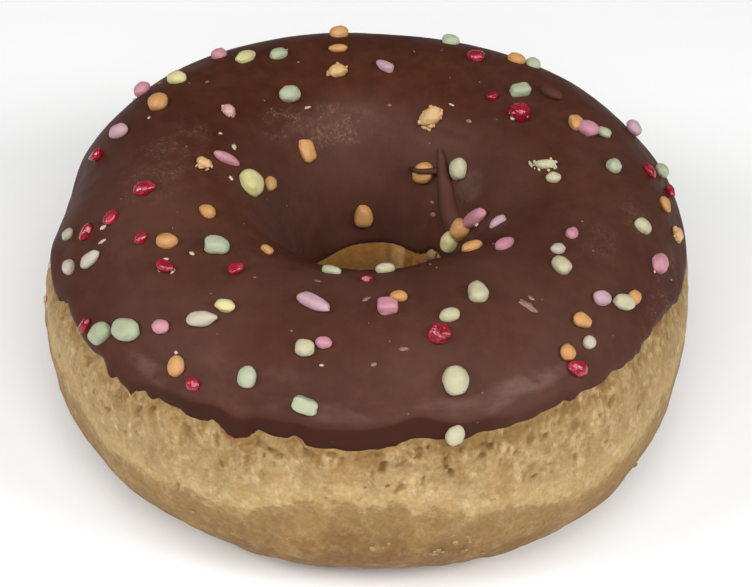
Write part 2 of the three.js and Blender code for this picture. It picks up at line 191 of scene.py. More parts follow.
def measure(name, description, default, subtype="NONE", unit="LENGTH"):
    """A size or an angle that the sidebar shows."""
    return FloatProperty(
        name=name, description=description, default=default, subtype=subtype, unit=unit, precision=5
    )


def number(name, description, default):
    """A plain number that the sidebar shows."""
    return FloatProperty(name=name, description=description, default=default)


def colour(name, description, default):
    """A colour that the sidebar shows, as linear red, green and blue."""
    return FloatVectorProperty(
        name=name, description=description, default=default, subtype="COLOR", size=3, min=0.0, max=1.0
    )


class DoughnutRing(bpy.types.PropertyGroup):
    side_radius: measure("Side radius", "From the axis to the widest point of the side", 45 * MM)
    hole_radius: measure("Hole radius", "From the axis to the waist of the hole", 10 * MM)
    top_height: measure("Top height", "Height of the icing's top above the foot", 38 * MM)
    waist_height: measure("Waist height", "Height of the widest point above the foot", 16 * MM)
    foot_depth: measure("Foot depth", "How much of the round section the flat foot cuts off", 0.8 * MM)
    outer_roundness: number("Outer roundness", "2 is an ellipse, more is squarer", 2.15)
    inner_roundness: number("Inner roundness", "2 is an ellipse, more is squarer", 2.3)
    shift: measure("Shift", "How far the ring's axis lies from the origin along X", 0.35 * MM)
    crumb: colour("Crumb", "Pale crumb under the icing", (0.355, 0.242, 0.109))
    shoulder: colour("Shoulder", "Palest crumb, just above the crust", (0.50, 0.352, 0.155))
    golden: colour("Golden", "Golden patches of the crumb", (0.385, 0.228, 0.081))
    fibre: colour("Fibre", "Pale torn strands of the crumb", (0.55, 0.40, 0.212))
    # Pores is painted shade: the darker colour of the crumb's pores, hollows, streaks and grooves, and of the
    # crumb under the icing's lip
    pores: colour("Pores", "Inside of the open pores", (0.23, 0.13, 0.042))
    soaked: colour("Soaked", "Crumb that the icing's colour has soaked into", (0.2, 0.06, 0.028))
    inside: colour("Inside", "Wall of the hole below the icing", (0.396, 0.183, 0.0437))
    torn: colour("Torn", "Torn strands inside the hole", (0.74, 0.40, 0.16))
    crust: colour("Crust", "Baked lower side", (0.262, 0.158, 0.058))
    foot: colour("Foot", "Browned foot", (0.20, 0.105, 0.035))


class DoughnutIcing(bpy.types.PropertyGroup):
    rise: measure("Rise", "How far the coat stands over the ring's outer face", 0.15 * MM)
    depth: measure("Depth", "How far the coat reaches under it", 1.45 * MM)
    inner_lip: measure("Inner lip", "How far the lip inside the hole stands out", 0.5 * MM)
    chocolate: colour("Chocolate", "Colour of the icing", (0.054, 0.0158, 0.0084))
    smear: colour("Smear", "Lighter smears of the icing", (0.066, 0.0205, 0.0112))
    # Sheen is the colour of painted sheen, streaks and broad patches that stand in for reflections of the
    # lights; it also greys the bloom's patches
    sheen: colour("Sheen", "Greyish streaks and haze of the icing", (0.15, 0.085, 0.068))
    # Lip is painted shade: the dark colour of the outer lip's face and of the coat's turned-under edge, which
    # face downward
    lip: colour("Lip", "Thick dark face of the lip", (0.037, 0.0105, 0.006))
    bloom: colour("Bloom", "Pale specks of the icing's bloom", (0.34, 0.185, 0.125))


class DoughnutSprinkles(bpy.types.PropertyGroup):
    lift: number("Lift", "Height of a nugget's middle over the icing, in widths", 0.18)
    thickness: number("Thickness", "Standing height of a nugget, in widths", 0.85)
    fullness: number("Fullness", "Share of its listed size that a nugget fills", 0.95)
    orange: colour("Orange", "Orange sugar", (0.51, 0.26, 0.088))
    pink: colour("Pink", "Pink sugar", (0.475, 0.215, 0.262))
    lilac: colour("Lilac", "Palest pink sugar", (0.45, 0.282, 0.318))
    red: colour("Red", "Glassy red sugar", (0.27, 0.0035, 0.018))
    mint: colour("Mint", "Pale green sugar", (0.365, 0.40, 0.265))
    lemon: colour("Lemon", "Pale yellow sugar", (0.56, 0.51, 0.24))
    cream: colour("Cream", "Cream sugar", (0.47, 0.44, 0.285))
    white: colour("White", "Greyish white sugar", (0.435, 0.395, 0.305))
    crumbs: colour("Crumbs", "Loose crumbs", (0.55, 0.42, 0.31))
    drowned: colour("Drowned crumbs", "Crumbs half drowned in the icing", (0.24, 0.125, 0.095))


class DoughnutStage(bpy.types.PropertyGroup):
    elevation: measure("Elevation", "Angle of the view over the table", math.radians(40), "ANGLE", "ROTATION")
    roll: measure("Roll", "Turn of the camera about its view", math.radians(3.5), "ANGLE", "ROTATION")
    distance: measure("Distance", "From the camera to its aim", 340 * MM)
    aim_height: measure("Aim height", "Height of the point that the camera aims at", 18 * MM)
    aim_right: measure("Aim right", "How far the aim lies to the camera's right", 0.64 * MM)
    aim_down: measure("Aim down", "How far the aim lies below", 0.93 * MM)
    lens: number("Lens", "Focal length in mm on a 36 mm sensor", 118.0)


def ease(value, low, high):
    """Smooth step from 0 at low to 1 at high."""
    part = np.clip((value - low) / (high - low), 0, 1)
    return part * part * (3 - 2 * part)


def bell(away, half):
    """Hump that is 1 where away is 0 and fades over a half width."""
    return np.exp(-((away / half) ** 2))


def shares(count):
    """Column of the shares 0, 1/count, 2/count and so on, below 1."""
    return np.arange(count)[:, None] / count


def turn_from(middle, round_angle):
    """Turn from a middle to the round angles, from -180 to 180 degrees."""
    return (round_angle - middle + 180) % 360 - 180


def swell(waves, round_angle):
    """Sum of the waves at the round angles, in metres."""
    return sum(
        height * MM * np.cos(np.radians(turns * round_angle - crest)) for turns, height, crest in waves
    )


def flattened(round_angle):
    """How far the side lies inward along its flatter stretch, in metres."""
    start, end, soft, depth = FLAT_STRETCH
    angle = np.asarray(round_angle, dtype=float) % 360
    return depth * MM * ease(angle, start - soft, start + soft) * (1 - ease(angle, end - soft, end + soft))


def hem_at(stations, round_angle):
    """Over angle of a hem at the round angles, eased from station to station all the way round."""
    places, values = np.array([*stations, (stations[0][0] + 360, stations[0][1])], dtype=float).T
    angle = (np.asarray(round_angle, dtype=float) - places[0]) % 360.0 + places[0]
    index = np.clip(np.searchsorted(places, angle, side="right") - 1, 0, len(stations) - 1)
    part = ease(angle, places[index], places[index + 1])
    return values[index] + (values[index + 1] - values[index]) * part


def ring_point(ring, round_angle, over, rise=0.0):
    """Points of the ring at their round and over angles, raised by rise, and never below the foot."""
    cos_over = np.cos(np.radians(over))
    sin_over = np.sin(np.radians(over))
    side = ring.side_radius + swell(SIDE_WAVES, round_angle) - flattened(round_angle)
    half_width = (side - ring.hole_radius) / 2
    middle = (side + ring.hole_radius) / 2
    upper = ring.top_height + swell(TOP_WAVES, round_angle) - ring.waist_height
    lower = ring.waist_height + ring.foot_depth
    half_height = np.where(sin_over > 0, upper, lower)
    inward = (sin_over > 0) & (cos_over < 0)
    roundness = np.where(inward, ring.inner_roundness, ring.outer_roundness)
    size = np.abs(cos_over / half_width) ** roundness + np.abs(sin_over / half_height) ** roundness
    reach = size ** (-1 / roundness) + rise
    radius = middle + reach * cos_over
    height = np.maximum(ring.waist_height + reach * sin_over, 0)
    turn = np.radians(round_angle)
    return np.stack([radius * np.cos(turn) + ring.shift, radius * np.sin(turn), height + 0 * radius], axis=-1)


def surface_frame(ring, round_angle, over, rise=0.0):
    """Matrix at a place of the ring: X along the round direction, Y along the over direction, Z outward."""
    step = 0.5
    sides = ring_point(ring, np.array([round_angle + step, round_angle - step]), np.array([over, over]))
    ends = ring_point(ring, np.array([round_angle, round_angle]), np.array([over + step, over - step]))
    along = Vector(sides[0] - sides[1]).normalized()
    across = Vector(ends[0] - ends[1]).normalized()
    outward = along.cross(across).normalized()
    turn = Matrix((along, outward.cross(along), outward)).transposed().to_4x4()
    return Matrix.Translation(Vector(ring_point(ring, round_angle, over, rise))) @ turn


def spline_weights(count, cells, closed):
    """Weights of smooth interpolation from a row of cells to count places."""
    place = np.arange(count) * cells / count if closed else np.linspace(0, cells - 1, count)
    first = np.floor(place).astype(int)
    part = place - first
    taps = (
        (1 - part) ** 3 / 6,
        (3 * part**3 - 6 * part**2 + 4) / 6,
        (-3 * part**3 + 3 * part**2 + 3 * part + 1) / 6,
        part**3 / 6,
    )
    weights = np.zeros((count, cells))
    for offset, tap in zip((-1, 0, 1, 2), taps):
        cell = (first + offset) % cells if closed else np.clip(first + offset, 0, cells - 1)
        np.add.at(weights, (np.arange(count), cell), tap)
    return weights


def soft_noise(rows, columns, cells_over, cells_round, seed):
    """Smooth random field over rows and closed columns, with a spread of about one."""
    lattice = np.random.default_rng(seed).uniform(-1, 1, (cells_over, cells_round))
    field = spline_weights(rows, cells_over, False) @ lattice @ spline_weights(columns, cells_round, True).T
    return field / field.std()


def press_pits(depths, mask, pits, row_pitch, column_pitch, ragged):
    """Deepens the depths where round-bottomed pits lie. A pit is its row and column, half height,
    half width and depth in metres, lean in degrees and how much its mask shows."""
    rows, columns = depths.shape
    for row, column, half_height, half_width, depth, lean, shown in pits:
        reach = 1.5 * max(half_height, half_width)
        tall = reach / row_pitch
        wide = reach / column_pitch
        near_rows = np.arange(max(0, int(row - tall)), min(rows, int(row + tall + 2)))
        near_columns = np.arange(int(column - wide), int(column + wide + 2))
        window = np.ix_(near_rows, near_columns % columns)
        up = (near_rows - row)[:, None] * row_pitch
        along = (near_columns - column)[None, :] * column_pitch
        turn = math.radians(lean)
        across = (along * math.cos(turn) + up * math.sin(turn)) / half_width
        length = (up * math.cos(turn) - along * math.sin(turn)) / half_height
        away = across**2 + length**2
        bowl = np.clip(1 - away + 0.42 * ragged[window] * (away > 0.1), 0, 1)
        depths[window] = np.maximum(depths[window], depth * bowl**0.7)
        mask[window] = np.maximum(mask[window], shown * bowl)


def kept_columns(columns, near_start, near_count, far_step):
    """Columns that a mesh keeps: all of the near side from near_start on, and one in far_step beyond it."""
    near_end = near_start + near_count
    far = range(near_end, near_start + columns, far_step)
    return np.array([*range(near_start, near_end), *far]) % columns


def mesh_from(name, bm):
    """Mesh from a bmesh, which is freed."""
    mesh = bpy.data.meshes.new(name)
    bm.to_mesh(mesh)
    bm.free()
    return mesh


def add_object(name, data):
    """Object in the scene with its mesh, light or camera."""
    made = bpy.data.objects.new(name, data)
    bpy.context.scene.collection.objects.link(made)
    return made


def add_piece(name, mesh):
    """Visible piece of the doughnut."""
    piece = add_object(name, mesh)
    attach(piece, "root")
    return piece


def rolled_ring(name, overs, rises, ring, fields, kept):
    """Piece made from a grid rolled up to a ring, whose rows and kept columns go to the overs and rises."""
    rows, all_columns = overs.shape
    columns = len(kept)
    centre, tube, seam_gap = 1.0, 0.4, 1e-5
    bm = bmesh.new()
    bmesh.ops.create_grid(bm, x_segments=columns, y_segments=rows, size=math.pi)
    for vertex in bm.verts:
        turn, tilt = vertex.co.xy
        radius = centre + tube * math.cos(tilt)
        vertex.co = (radius * math.cos(turn), radius * math.sin(turn), tube * math.sin(tilt))
    bmesh.ops.remove_doubles(bm, verts=bm.verts, dist=seam_gap)
    bmesh.ops.recalc_face_normals(bm, faces=bm.faces)
    mesh = mesh_from(name, bm)
    plain = np.empty(len(mesh.vertices) * 3)
    mesh.vertices.foreach_get("co", plain)
    x, y, z = plain.reshape(-1, 3).T
    turn = np.arctan2(y, x)
    tilt = np.arctan2(z, np.hypot(x, y) - centre)
    column = kept[np.rint(turn / math.tau * columns).astype(int) % columns]
    row = np.rint(tilt / math.tau * rows).astype(int) % rows
    points = ring_point(ring, column * 360.0 / all_columns, overs[row, column], rises[row, column])
    mesh.vertices.foreach_set("co", points.ravel())
    for field_name, field in fields.items():
        attribute = mesh.attributes.new(field_name, "FLOAT", "POINT")
        attribute.data.foreach_set("value", field[row, column].astype(np.float32))
    mesh.polygons.foreach_set("use_smooth", [True] * len(mesh.polygons))
    mesh.update()
    return add_piece(name, mesh)


# Middle of the side whose edges were read, and the turns from it between which scallops take over
SIDE_READ = (268, 78, 92)


def hems(round_angle):
    """Outer and inner edge of the icing at the columns' round angles, uneven where they weren't read."""
    columns = len(round_angle)
    middle, *reach = SIDE_READ
    far = ease(np.abs(turn_from(middle, round_angle)), *reach)
    scallops = 1.1 * soft_noise(1, columns, 4, 46, 11)[0] + 0.45 * soft_noise(1, columns, 4, 150, 12)[0]
    outer = hem_at(OUTER_HEM, round_angle) + far * scallops
    outer += 0.22 * (1 - far) * soft_noise(1, columns, 4, 260, 14)[0]
    inner = hem_at(INNER_HEM, round_angle) + 0.25 * soft_noise(1, columns, 4, 40, 13)[0]
    return outer, inner


# Shader nodes


class Nodes:
    """Short ways to add nodes to one tree. Each takes sockets or plain values and gives an output socket."""

    def __init__(self, tree):
        self.tree = tree

    def fill(self, node, sockets):
        """Links or sets a node's inputs by name or number. A colour comes as red, green and blue."""
        for name, value in sockets.items():
            socket = node.inputs[name]
            if isinstance(value, bpy.types.NodeSocket):
                self.tree.links.new(value, socket)
            elif socket.type == "RGBA":
                socket.default_value = (*value, 1.0)
            else:
                socket.default_value = value

    def add(self, kind, sockets, **settings):
        """Adds a node, sets it up and fills its inputs."""
        node = self.tree.nodes.new(kind)
        for name, value in settings.items():
            setattr(node, name, value)
        self.fill(node, sockets)
        return node

    def maths(self, operation, first, second):
        return self.add("ShaderNodeMath", {0: first, 1: second}, operation=operation).outputs[0]

    def times(self, first, second):
        return self.maths("MULTIPLY", first, second)

    def between(self, value, low, high, start=0.0, end=1.0):
        """Value mapped smoothly from low and high to start and end."""
        sockets = {"Value": value, "From Min": low, "From Max": high, "To Min": start, "To Max": end}
        return self.add("ShaderNodeMapRange", sockets, interpolation_type="SMOOTHSTEP").outputs["Result"]

    def mix(self, share, first, second, how="MIX"):
        """Mix of two colours."""
        sockets = {0: share, 6: first, 7: second}
        return self.add("ShaderNodeMix", sockets, data_type="RGBA", blend_type=how).outputs[2]

    def stained(self, base, stain, value, low, high, most, mask=None):
        """Base colour with a stain that grows from none to most where the value goes from low to high."""
        share = self.between(value, low, high, 0.0, most)
        if mask is not None:
            share = self.times(share, mask)
        return self.mix(share, base, stain)

    def cloud(self, place, scale, detail=3.0, roughness=0.5, bend=0.0):
        """Noise value at a place."""
        look = {"Scale": scale, "Detail": detail, "Roughness": roughness, "Distortion": bend}
        return self.add("ShaderNodeTexNoise", {"Vector": place, **look}).outputs["Fac"]

    def cells(self, place, scale):
        """Distance to the nearest of scattered points."""
        return self.add("ShaderNodeTexVoronoi", {"Vector": place, "Scale": scale}).outputs["Distance"]

    def stretched(self, place, scale):
        """Place with its X, Y and Z scaled, or only its Z where one number is given."""
        scale = scale if isinstance(scale, tuple) else (1.0, 1.0, scale)
        return self.add("ShaderNodeMapping", {"Vector": place, "Scale": scale}).outputs["Vector"]

    def field(self, name):
        """Value of one of the piece's own attributes."""
        return self.add("ShaderNodeAttribute", {}, attribute_name=name).outputs["Fac"]

    def bump(self, height, depth, strength, below=None):
        """Normal bumped by a depth in metres, over another bump's normal where there is one."""
        sockets = {"Strength": strength, "Distance": depth, "Height": height}
        if below is not None:
            sockets["Normal"] = below
        return self.add("ShaderNodeBump", sockets).outputs["Normal"]

    def effect(self, name, maker, sockets):
        """Outputs of a shared effect, which is made where it isn't there yet."""
        group = bpy.data.node_groups.get(name) or maker(name)
        return self.add("ShaderNodeGroup", sockets, node_tree=group).outputs


def new_effect(name, numbers, results):
    """Shader node group that turns a place and numbers into values: its nodes, given sockets and end node."""
    tree = bpy.data.node_groups.new(name, "ShaderNodeTree")
    tree.interface.new_socket("Place", in_out="INPUT", socket_type="NodeSocketVector")
    for label, default in numbers.items():
        socket = tree.interface.new_socket(label, in_out="INPUT", socket_type="NodeSocketFloat")
        socket.default_value = default
    for result in results:
        tree.interface.new_socket(result, in_out="OUTPUT", socket_type="NodeSocketFloat")
    return Nodes(tree), tree.nodes.new("NodeGroupInput").outputs, tree.nodes.new("NodeGroupOutput")


def sugar_grain(name):
    """Fine grains and specks of sugar: a height and a mask of pale specks."""
    nodes, given, end = new_effect(name, {"Grain size": 4000.0}, ("Height", "Specks"))
    place, size = given["Place"], given["Grain size"]
    grains = nodes.times(nodes.cells(place, size), -0.5)
    lumps = nodes.cloud(place, nodes.times(size, 0.4), 4.0, 0.6)
    specks = nodes.between(nodes.cloud(place, nodes.times(size, 0.3), 3.0, 0.7), 0.56, 0.7)
    nodes.fill(end, {"Height": nodes.maths("ADD", grains, lumps), "Specks": specks})
    return nodes.tree


def fine_pores(name):
    """Small open pores, taller than wide: a height and a mask of the holes."""
    nodes, given, end = new_effect(name, {"Pores per metre": 900.0, "Openness": 0.3}, ("Height", "Holes"))
    place, rate = given["Place"], given["Pores per metre"]
    bend = nodes.cloud(place, nodes.times(rate, 0.35), 2.0, 0.5)
    shift = {0: (1.2 * MM, 1.2 * MM, 1.2 * MM), "Scale": bend}
    shift = nodes.add("ShaderNodeVectorMath", shift, operation="SCALE").outputs[0]
    bent = nodes.add("ShaderNodeVectorMath", {0: place, 1: shift}, operation="ADD").outputs[0]
    distance = nodes.cells(nodes.stretched(bent, 0.45), rate)
    patches = nodes.times(nodes.cloud(place, nodes.times(rate, 0.22), 2.0, 0.6), 2.0)
    reach = nodes.times(given["Openness"], patches)
    holes = nodes.between(nodes.maths("SUBTRACT", reach, distance), 0.0, 0.14)
    nodes.fill(end, {"Height": nodes.times(holes, -1.0), "Holes": holes})
    return nodes.tree


def new_material(name):
    """Material with its nodes, its shader and the piece's own coordinates."""
    material = bpy.data.materials.new(name)
    material.use_nodes = True
    nodes = Nodes(material.node_tree)
    place = nodes.add("ShaderNodeTexCoord", {}).outputs["Object"]
    return material, nodes, material.node_tree.nodes["Principled BSDF"], place


def crumb_material(ring):
    """Pale porous crumb under the icing that turns into a browned crust towards the foot.
    Its pores, hollows and streaks, and the crumb just under the icing's lip, are darkened with painted shade.
    """
    material, nodes, shader, place = new_material("Crumb and crust")
    open_and_hem_shade = nodes.field("open")
    depth = nodes.field("crust")
    for scale, amount in ((170.0, 1.8), (620.0, 1.5), (1900.0, 0.7)):
        wander = nodes.cloud(nodes.stretched(place, 1.3), scale, 3.0, 0.6)
        depth = nodes.maths("ADD", depth, nodes.times(nodes.maths("SUBTRACT", wander, 0.5), amount))
    upper = nodes.times(nodes.between(depth, -2.6, -0.6, 1.0, 0.0), open_and_hem_shade)
    pale_zone = nodes.between(depth, -1.0, 1.0, 1.0, 0.3)
    pore_zone = nodes.between(depth, -0.6, 0.3, 1.0, 0.15)
    above_crust = nodes.between(depth, -0.2, 0.2, 1.0, 0.0)

    base = nodes.mix(nodes.between(depth, -0.7, 0.8), ring.crumb, ring.crust)
    base = nodes.mix(nodes.between(depth, 0.8, 3.2), base, ring.foot)
    base = nodes.stained(base, ring.shoulder, depth, -1.5, -0.5, 0.5, above_crust)
    golden = nodes.cloud(nodes.stretched(place, 0.8), 190.0, 5.0, 0.65)
    base = nodes.stained(base, ring.golden, golden, 0.48, 0.66, 0.42)
    # The pores' colour paints shade in hollows and streaks near the icing, in the gaps of the web, in the
    # small pores and in the pits
    hollows = nodes.cloud(nodes.stretched(place, 0.65), 420.0, 4.0, 0.62, 0.6)
    base = nodes.stained(base, ring.pores, hollows, 0.46, 0.62, 0.86, upper)
    # Painted shade under the icing's lip, where the openness field is raised just under the hem
    base = nodes.stained(base, ring.pores, open_and_hem_shade, 0.8, 1.8, 0.5)
    pale = nodes.cloud(nodes.stretched(place, 0.75), 520.0, 5.0, 0.68)
    base = nodes.stained(base, ring.fibre, pale, 0.49, 0.66, 0.62, pale_zone)
    streaks = nodes.cloud(nodes.stretched(place, 0.25), 800.0, 4.0, 0.65)
    base = nodes.stained(base, ring.pores, streaks, 0.47, 0.66, 0.5, upper)
    base = nodes.mix(nodes.times(nodes.field("web"), 0.95), base, ring.pores)
    sockets = {"Place": place, "Pores per metre": 900.0, "Openness": 0.27}
    small = nodes.effect("Fine pores", fine_pores, sockets)
    holes = nodes.times(small["Holes"], pore_zone)
    slots = nodes.times(holes, nodes.between(open_and_hem_shade, 0.7, 1.7, 0.1, 0.6))
    base = nodes.mix(slots, base, ring.pores)
    base = nodes.mix(nodes.times(nodes.field("pore"), 0.9), base, ring.pores)

    wall = nodes.cloud(nodes.stretched(place, 0.3), 500.0, 3.0, 0.6)
    wall = nodes.stained(ring.inside, ring.golden, wall, 0.4, 0.65, 0.35)
    inside = nodes.field("inside")
    base = nodes.mix(inside, base, wall)
    torn = nodes.times(nodes.field("hole"), nodes.maths("SUBTRACT", 1.0, inside))
    base = nodes.mix(torn, base, ring.torn)

    grain = nodes.cloud(place, 1300.0, 5.0, 0.75)
    base = nodes.mix(1.0, base, nodes.between(grain, 0.3, 0.7, 0.83, 1.16), "MULTIPLY")
    base = nodes.stained(base, ring.soaked, grain, 0.25, 0.5, 0.85, nodes.field("soak"))
    fine = nodes.bump(grain, 0.22 * MM, 0.8)
    finish = {
        "Base Color": base,
        "Roughness": 0.75,
        "Specular IOR Level": 0.2,
        "Subsurface Weight": 0.12,
        "Subsurface Radius": (1.0, 0.6, 0.25),
        "Subsurface Scale": 1 * MM,
        "Normal": nodes.bump(nodes.times(small["Height"], pore_zone), 0.2 * MM, 0.5, fine),
    }
    nodes.fill(shader, finish)
    return material


def icing_material(icing):
    """Satin chocolate with soft smears, greyish painted sheen, painted lip shade and the pale specks of its
    bloom.
    """
    material, nodes, shader, place = new_material("Chocolate icing")
    smear = nodes.cloud(place, 75.0, 5.0, 0.62, 0.5)
    base = nodes.mix(nodes.between(smear, 0.35, 0.68), icing.chocolate, icing.smear)
    mottle = nodes.cloud(place, 420.0, 5.0, 0.7)
    base = nodes.mix(1.0, base, nodes.between(mottle, 0.3, 0.7, 0.85, 1.15), "MULTIPLY")
    # Painted sheen: greyish streaks where the lights reflect on the coat
    streaks = nodes.cloud(nodes.stretched(place, (0.6, 1.0, 1.6)), 150.0, 5.0, 0.6, 0.4)
    base = nodes.stained(base, icing.sheen, streaks, 0.4, 0.66, 0.75, nodes.field("sheen"))
    # Broad painted sheen: faint greyish light on the near side and on the slopes of the hole
    haze = nodes.between(nodes.cloud(place, 60.0, 3.0, 0.5), 0.35, 0.65, 0.1, 0.19)
    base = nodes.mix(nodes.times(haze, nodes.field("haze")), base, icing.sheen)
    # Painted shade on the downward face of the lip
    base = nodes.mix(nodes.times(nodes.field("lip"), 0.85), base, icing.lip)
    specks = nodes.cloud(place, 2400.0, 5.0, 0.82)
    patchy = nodes.cloud(place, 330.0, 3.0, 0.6)
    bloom = nodes.times(nodes.field("bloom"), nodes.between(patchy, 0.36, 0.64))
    base = nodes.mix(nodes.times(bloom, 0.1), base, icing.sheen)
    base = nodes.stained(base, icing.bloom, specks, 0.47, 0.66, 0.78, bloom)
    dust = nodes.between(nodes.cells(place, 230.0), 0.02, 0.04, 0.3, 0.0)
    fine = nodes.bump(nodes.cloud(place, 1100.0, 4.0, 0.6), 0.03 * MM, 0.6)
    finish = {
        "Base Color": nodes.mix(dust, base, icing.bloom),
        "Roughness": nodes.between(nodes.cloud(place, 190.0, 4.0, 0.6), 0.3, 0.7, 0.48, 0.6),
        "Specular IOR Level": 0.055,
        "Subsurface Weight": 0.04,
        "Subsurface Radius": (1.0, 0.35, 0.2),
        "Subsurface Scale": 1 * MM,
        "Normal": nodes.bump(nodes.times(specks, bloom), 0.08 * MM, 0.8, fine),
    }
    nodes.fill(shader, finish)
    return material


# Finish of pressed sugar and of glassy sugar
PRESSED = {
    "Roughness": 0.48,
    "Specular IOR Level": 0.35,
    "Subsurface Weight": 0.3,
    "Subsurface Radius": (1.0, 0.6, 0.5),
}
GLASSY = {
    "Roughness": 0.22,
    "Specular IOR Level": 0.5,
    "Subsurface Weight": 0.4,
    "Subsurface Radius": (1.0, 0.05, 0.08),
    "Coat Weight": 0.25,
    "Coat Roughness": 0.15,
}
GLASSY_SPECKS = (0.6, 0.07, 0.12)


def sugar_material(name, rgb, glassy=False):
    """Sugar in one colour, pressed or glassy, with paler patches and specks."""
    material, nodes, shader, place = new_material(f"{name.capitalize()} sugar")
    grain = nodes.effect("Sugar grain", sugar_grain, {"Place": place, "Grain size": 3600.0})
    paler = GLASSY_SPECKS if glassy else tuple(min(1.0, value * 0.8 + 0.13) for value in rgb)
    deeper = tuple(0.88 * value**1.06 for value in rgb)
    base = nodes.mix(nodes.field("tone"), deeper, rgb)
    base = nodes.stained(base, paler, nodes.cloud(place, 520.0, 3.0, 0.6), 0.5, 0.72, 0.4)
    base = nodes.mix(nodes.times(grain["Specks"], 0.3), base, paler)
    base = nodes.mix(nodes.times(nodes.field("crumbly"), 0.3), base, CRUSHED_SUGAR)
    normal = nodes.bump(grain["Height"], (0.08 if glassy else 0.04) * MM, 0.6)
    nodes.fill(shader, {"Base Color": base, "Subsurface Scale": 0.7 * MM, "Normal": normal})
    nodes.fill(shader, GLASSY if glassy else PRESSED)
    return material


def flake_material(ring):
    """Loose flakes of dough, from crumb to crust."""
    material, nodes, shader, place = new_material("Dough flakes")
    base = nodes.mix(nodes.field("tone"), ring.crumb, ring.crust)
    normal = nodes.bump(nodes.cloud(place, 2200.0, 3.0, 0.6), 0.1 * MM, 0.7)
    nodes.fill(shader, {"Base Color": base, "Roughness": 0.8, "Normal": normal})
    return material


# The dough

# Mesh rows under the icing, in the hole, over the foot and the crust, and over the open crumb
COVERED_ROWS = 8
HOLE_ROWS = 28
CRUST_ROWS = 36
CRUMB_ROWS = 76
# Mesh columns all round, then those that stay: from which one the near side keeps every column, how many
# that are, and one in how many stays beyond them
DOUGH_COLUMNS = 1024
DOUGH_KEPT = (526, 484, 3)
CRUST_START = 295.0
CRUMB_REACH = 36.0
UNDER_ICING = 1.6 * MM
# Radii that turn degrees round and over into lengths on the side
ROUND_RADIUS = 45 * MM
OVER_RADIUS = 25 * MM
CRUST_RADIUS = 22 * MM
SMALL_PORE_COUNT = 420
FIBRE_PORE_COUNT = 260
FLAKE_COUNT = 90
# Relief of the side: height and width of the swellings in mm, and seed
SIDE_RELIEF = ((0.1, 4.5, 21), (0.05, 1.7, 22))
# Place where the crumb is torn open most, and how far that reaches round, in degrees
MOST_OPEN = (272, 30)
# Place inside the hole where the dough is torn, and how far that reaches round
TORN_HOLE = (52, 22)
# Places where the icing's colour has soaked into the crumb, and how far they reach round, in degrees
SOAKED = ((-112.4, 1.8), (-163, 3.0), (-76, 1.4), (-45, 1.2), (-24, 2.0), (-100.3, 0.8))


def pore_rows(row_pitch, column_pitch):
    """Pits of the crumb: those that were read, tall narrow ones near the icing and small scattered ones."""
    rng = random.Random(5)
    pits = []
    for round_angle, over, width, height, depth, lean in PORES:
        row = CRUMB_ROWS - (float(hem_at(OUTER_HEM, round_angle)) - over) / CRUMB_REACH * CRUMB_ROWS
        column = math.radians(round_angle % 360) * ROUND_RADIUS / column_pitch
        pits.append((row, column, 0.54 * height * MM, 0.54 * width * MM, depth * MM, lean, 1.0))
    for _ in range(FIBRE_PORE_COUNT):
        row = CRUMB_ROWS - rng.triangular(0.2, 5.0, 1.2) * MM / row_pitch
        column = rng.uniform(0, math.tau) * ROUND_RADIUS / column_pitch
        half_height = rng.triangular(0.5, 1.3, 0.6) * MM
        half_width = rng.uniform(0.2, 0.42) * MM
        depth = rng.uniform(0.12, 0.3) * MM
        pits.append((row, column, half_height, half_width, depth, rng.gauss(0, 9), rng.uniform(0.2, 0.65)))
    for _ in range(SMALL_PORE_COUNT):
        row = CRUMB_ROWS - rng.triangular(0.3, 13.0, 3.5) * MM / row_pitch
        column = rng.uniform(0, math.tau) * ROUND_RADIUS / column_pitch
        half_width = rng.triangular(0.18, 0.5, 0.22) * MM
        half_height = half_width * rng.uniform(0.9, 1.9)
        depth = rng.uniform(0.15, 0.5) * half_width
        pits.append((row, column, half_height, half_width, depth, rng.gauss(0, 20), rng.uniform(0.1, 0.55)))
    return pits


def side_noise(overs, cell, seed, tall=1.0):
    """Smooth random field with cells of a size in mm at the side's over angles, for every column."""
    start, per_degree, count = 290, 2, 240
    side_height, side_length = 50, 283
    columns = overs.shape[1]
    rows = soft_noise(count, columns, round(side_height / (cell * tall)), round(side_length / cell), seed)
    place = np.clip((overs - start) * per_degree, 0, count - 1.001)
    low = place.astype(int)
    column = np.arange(columns)
    return rows[low, column] * (1 - place + low) + rows[low + 1, column] * (place - low)


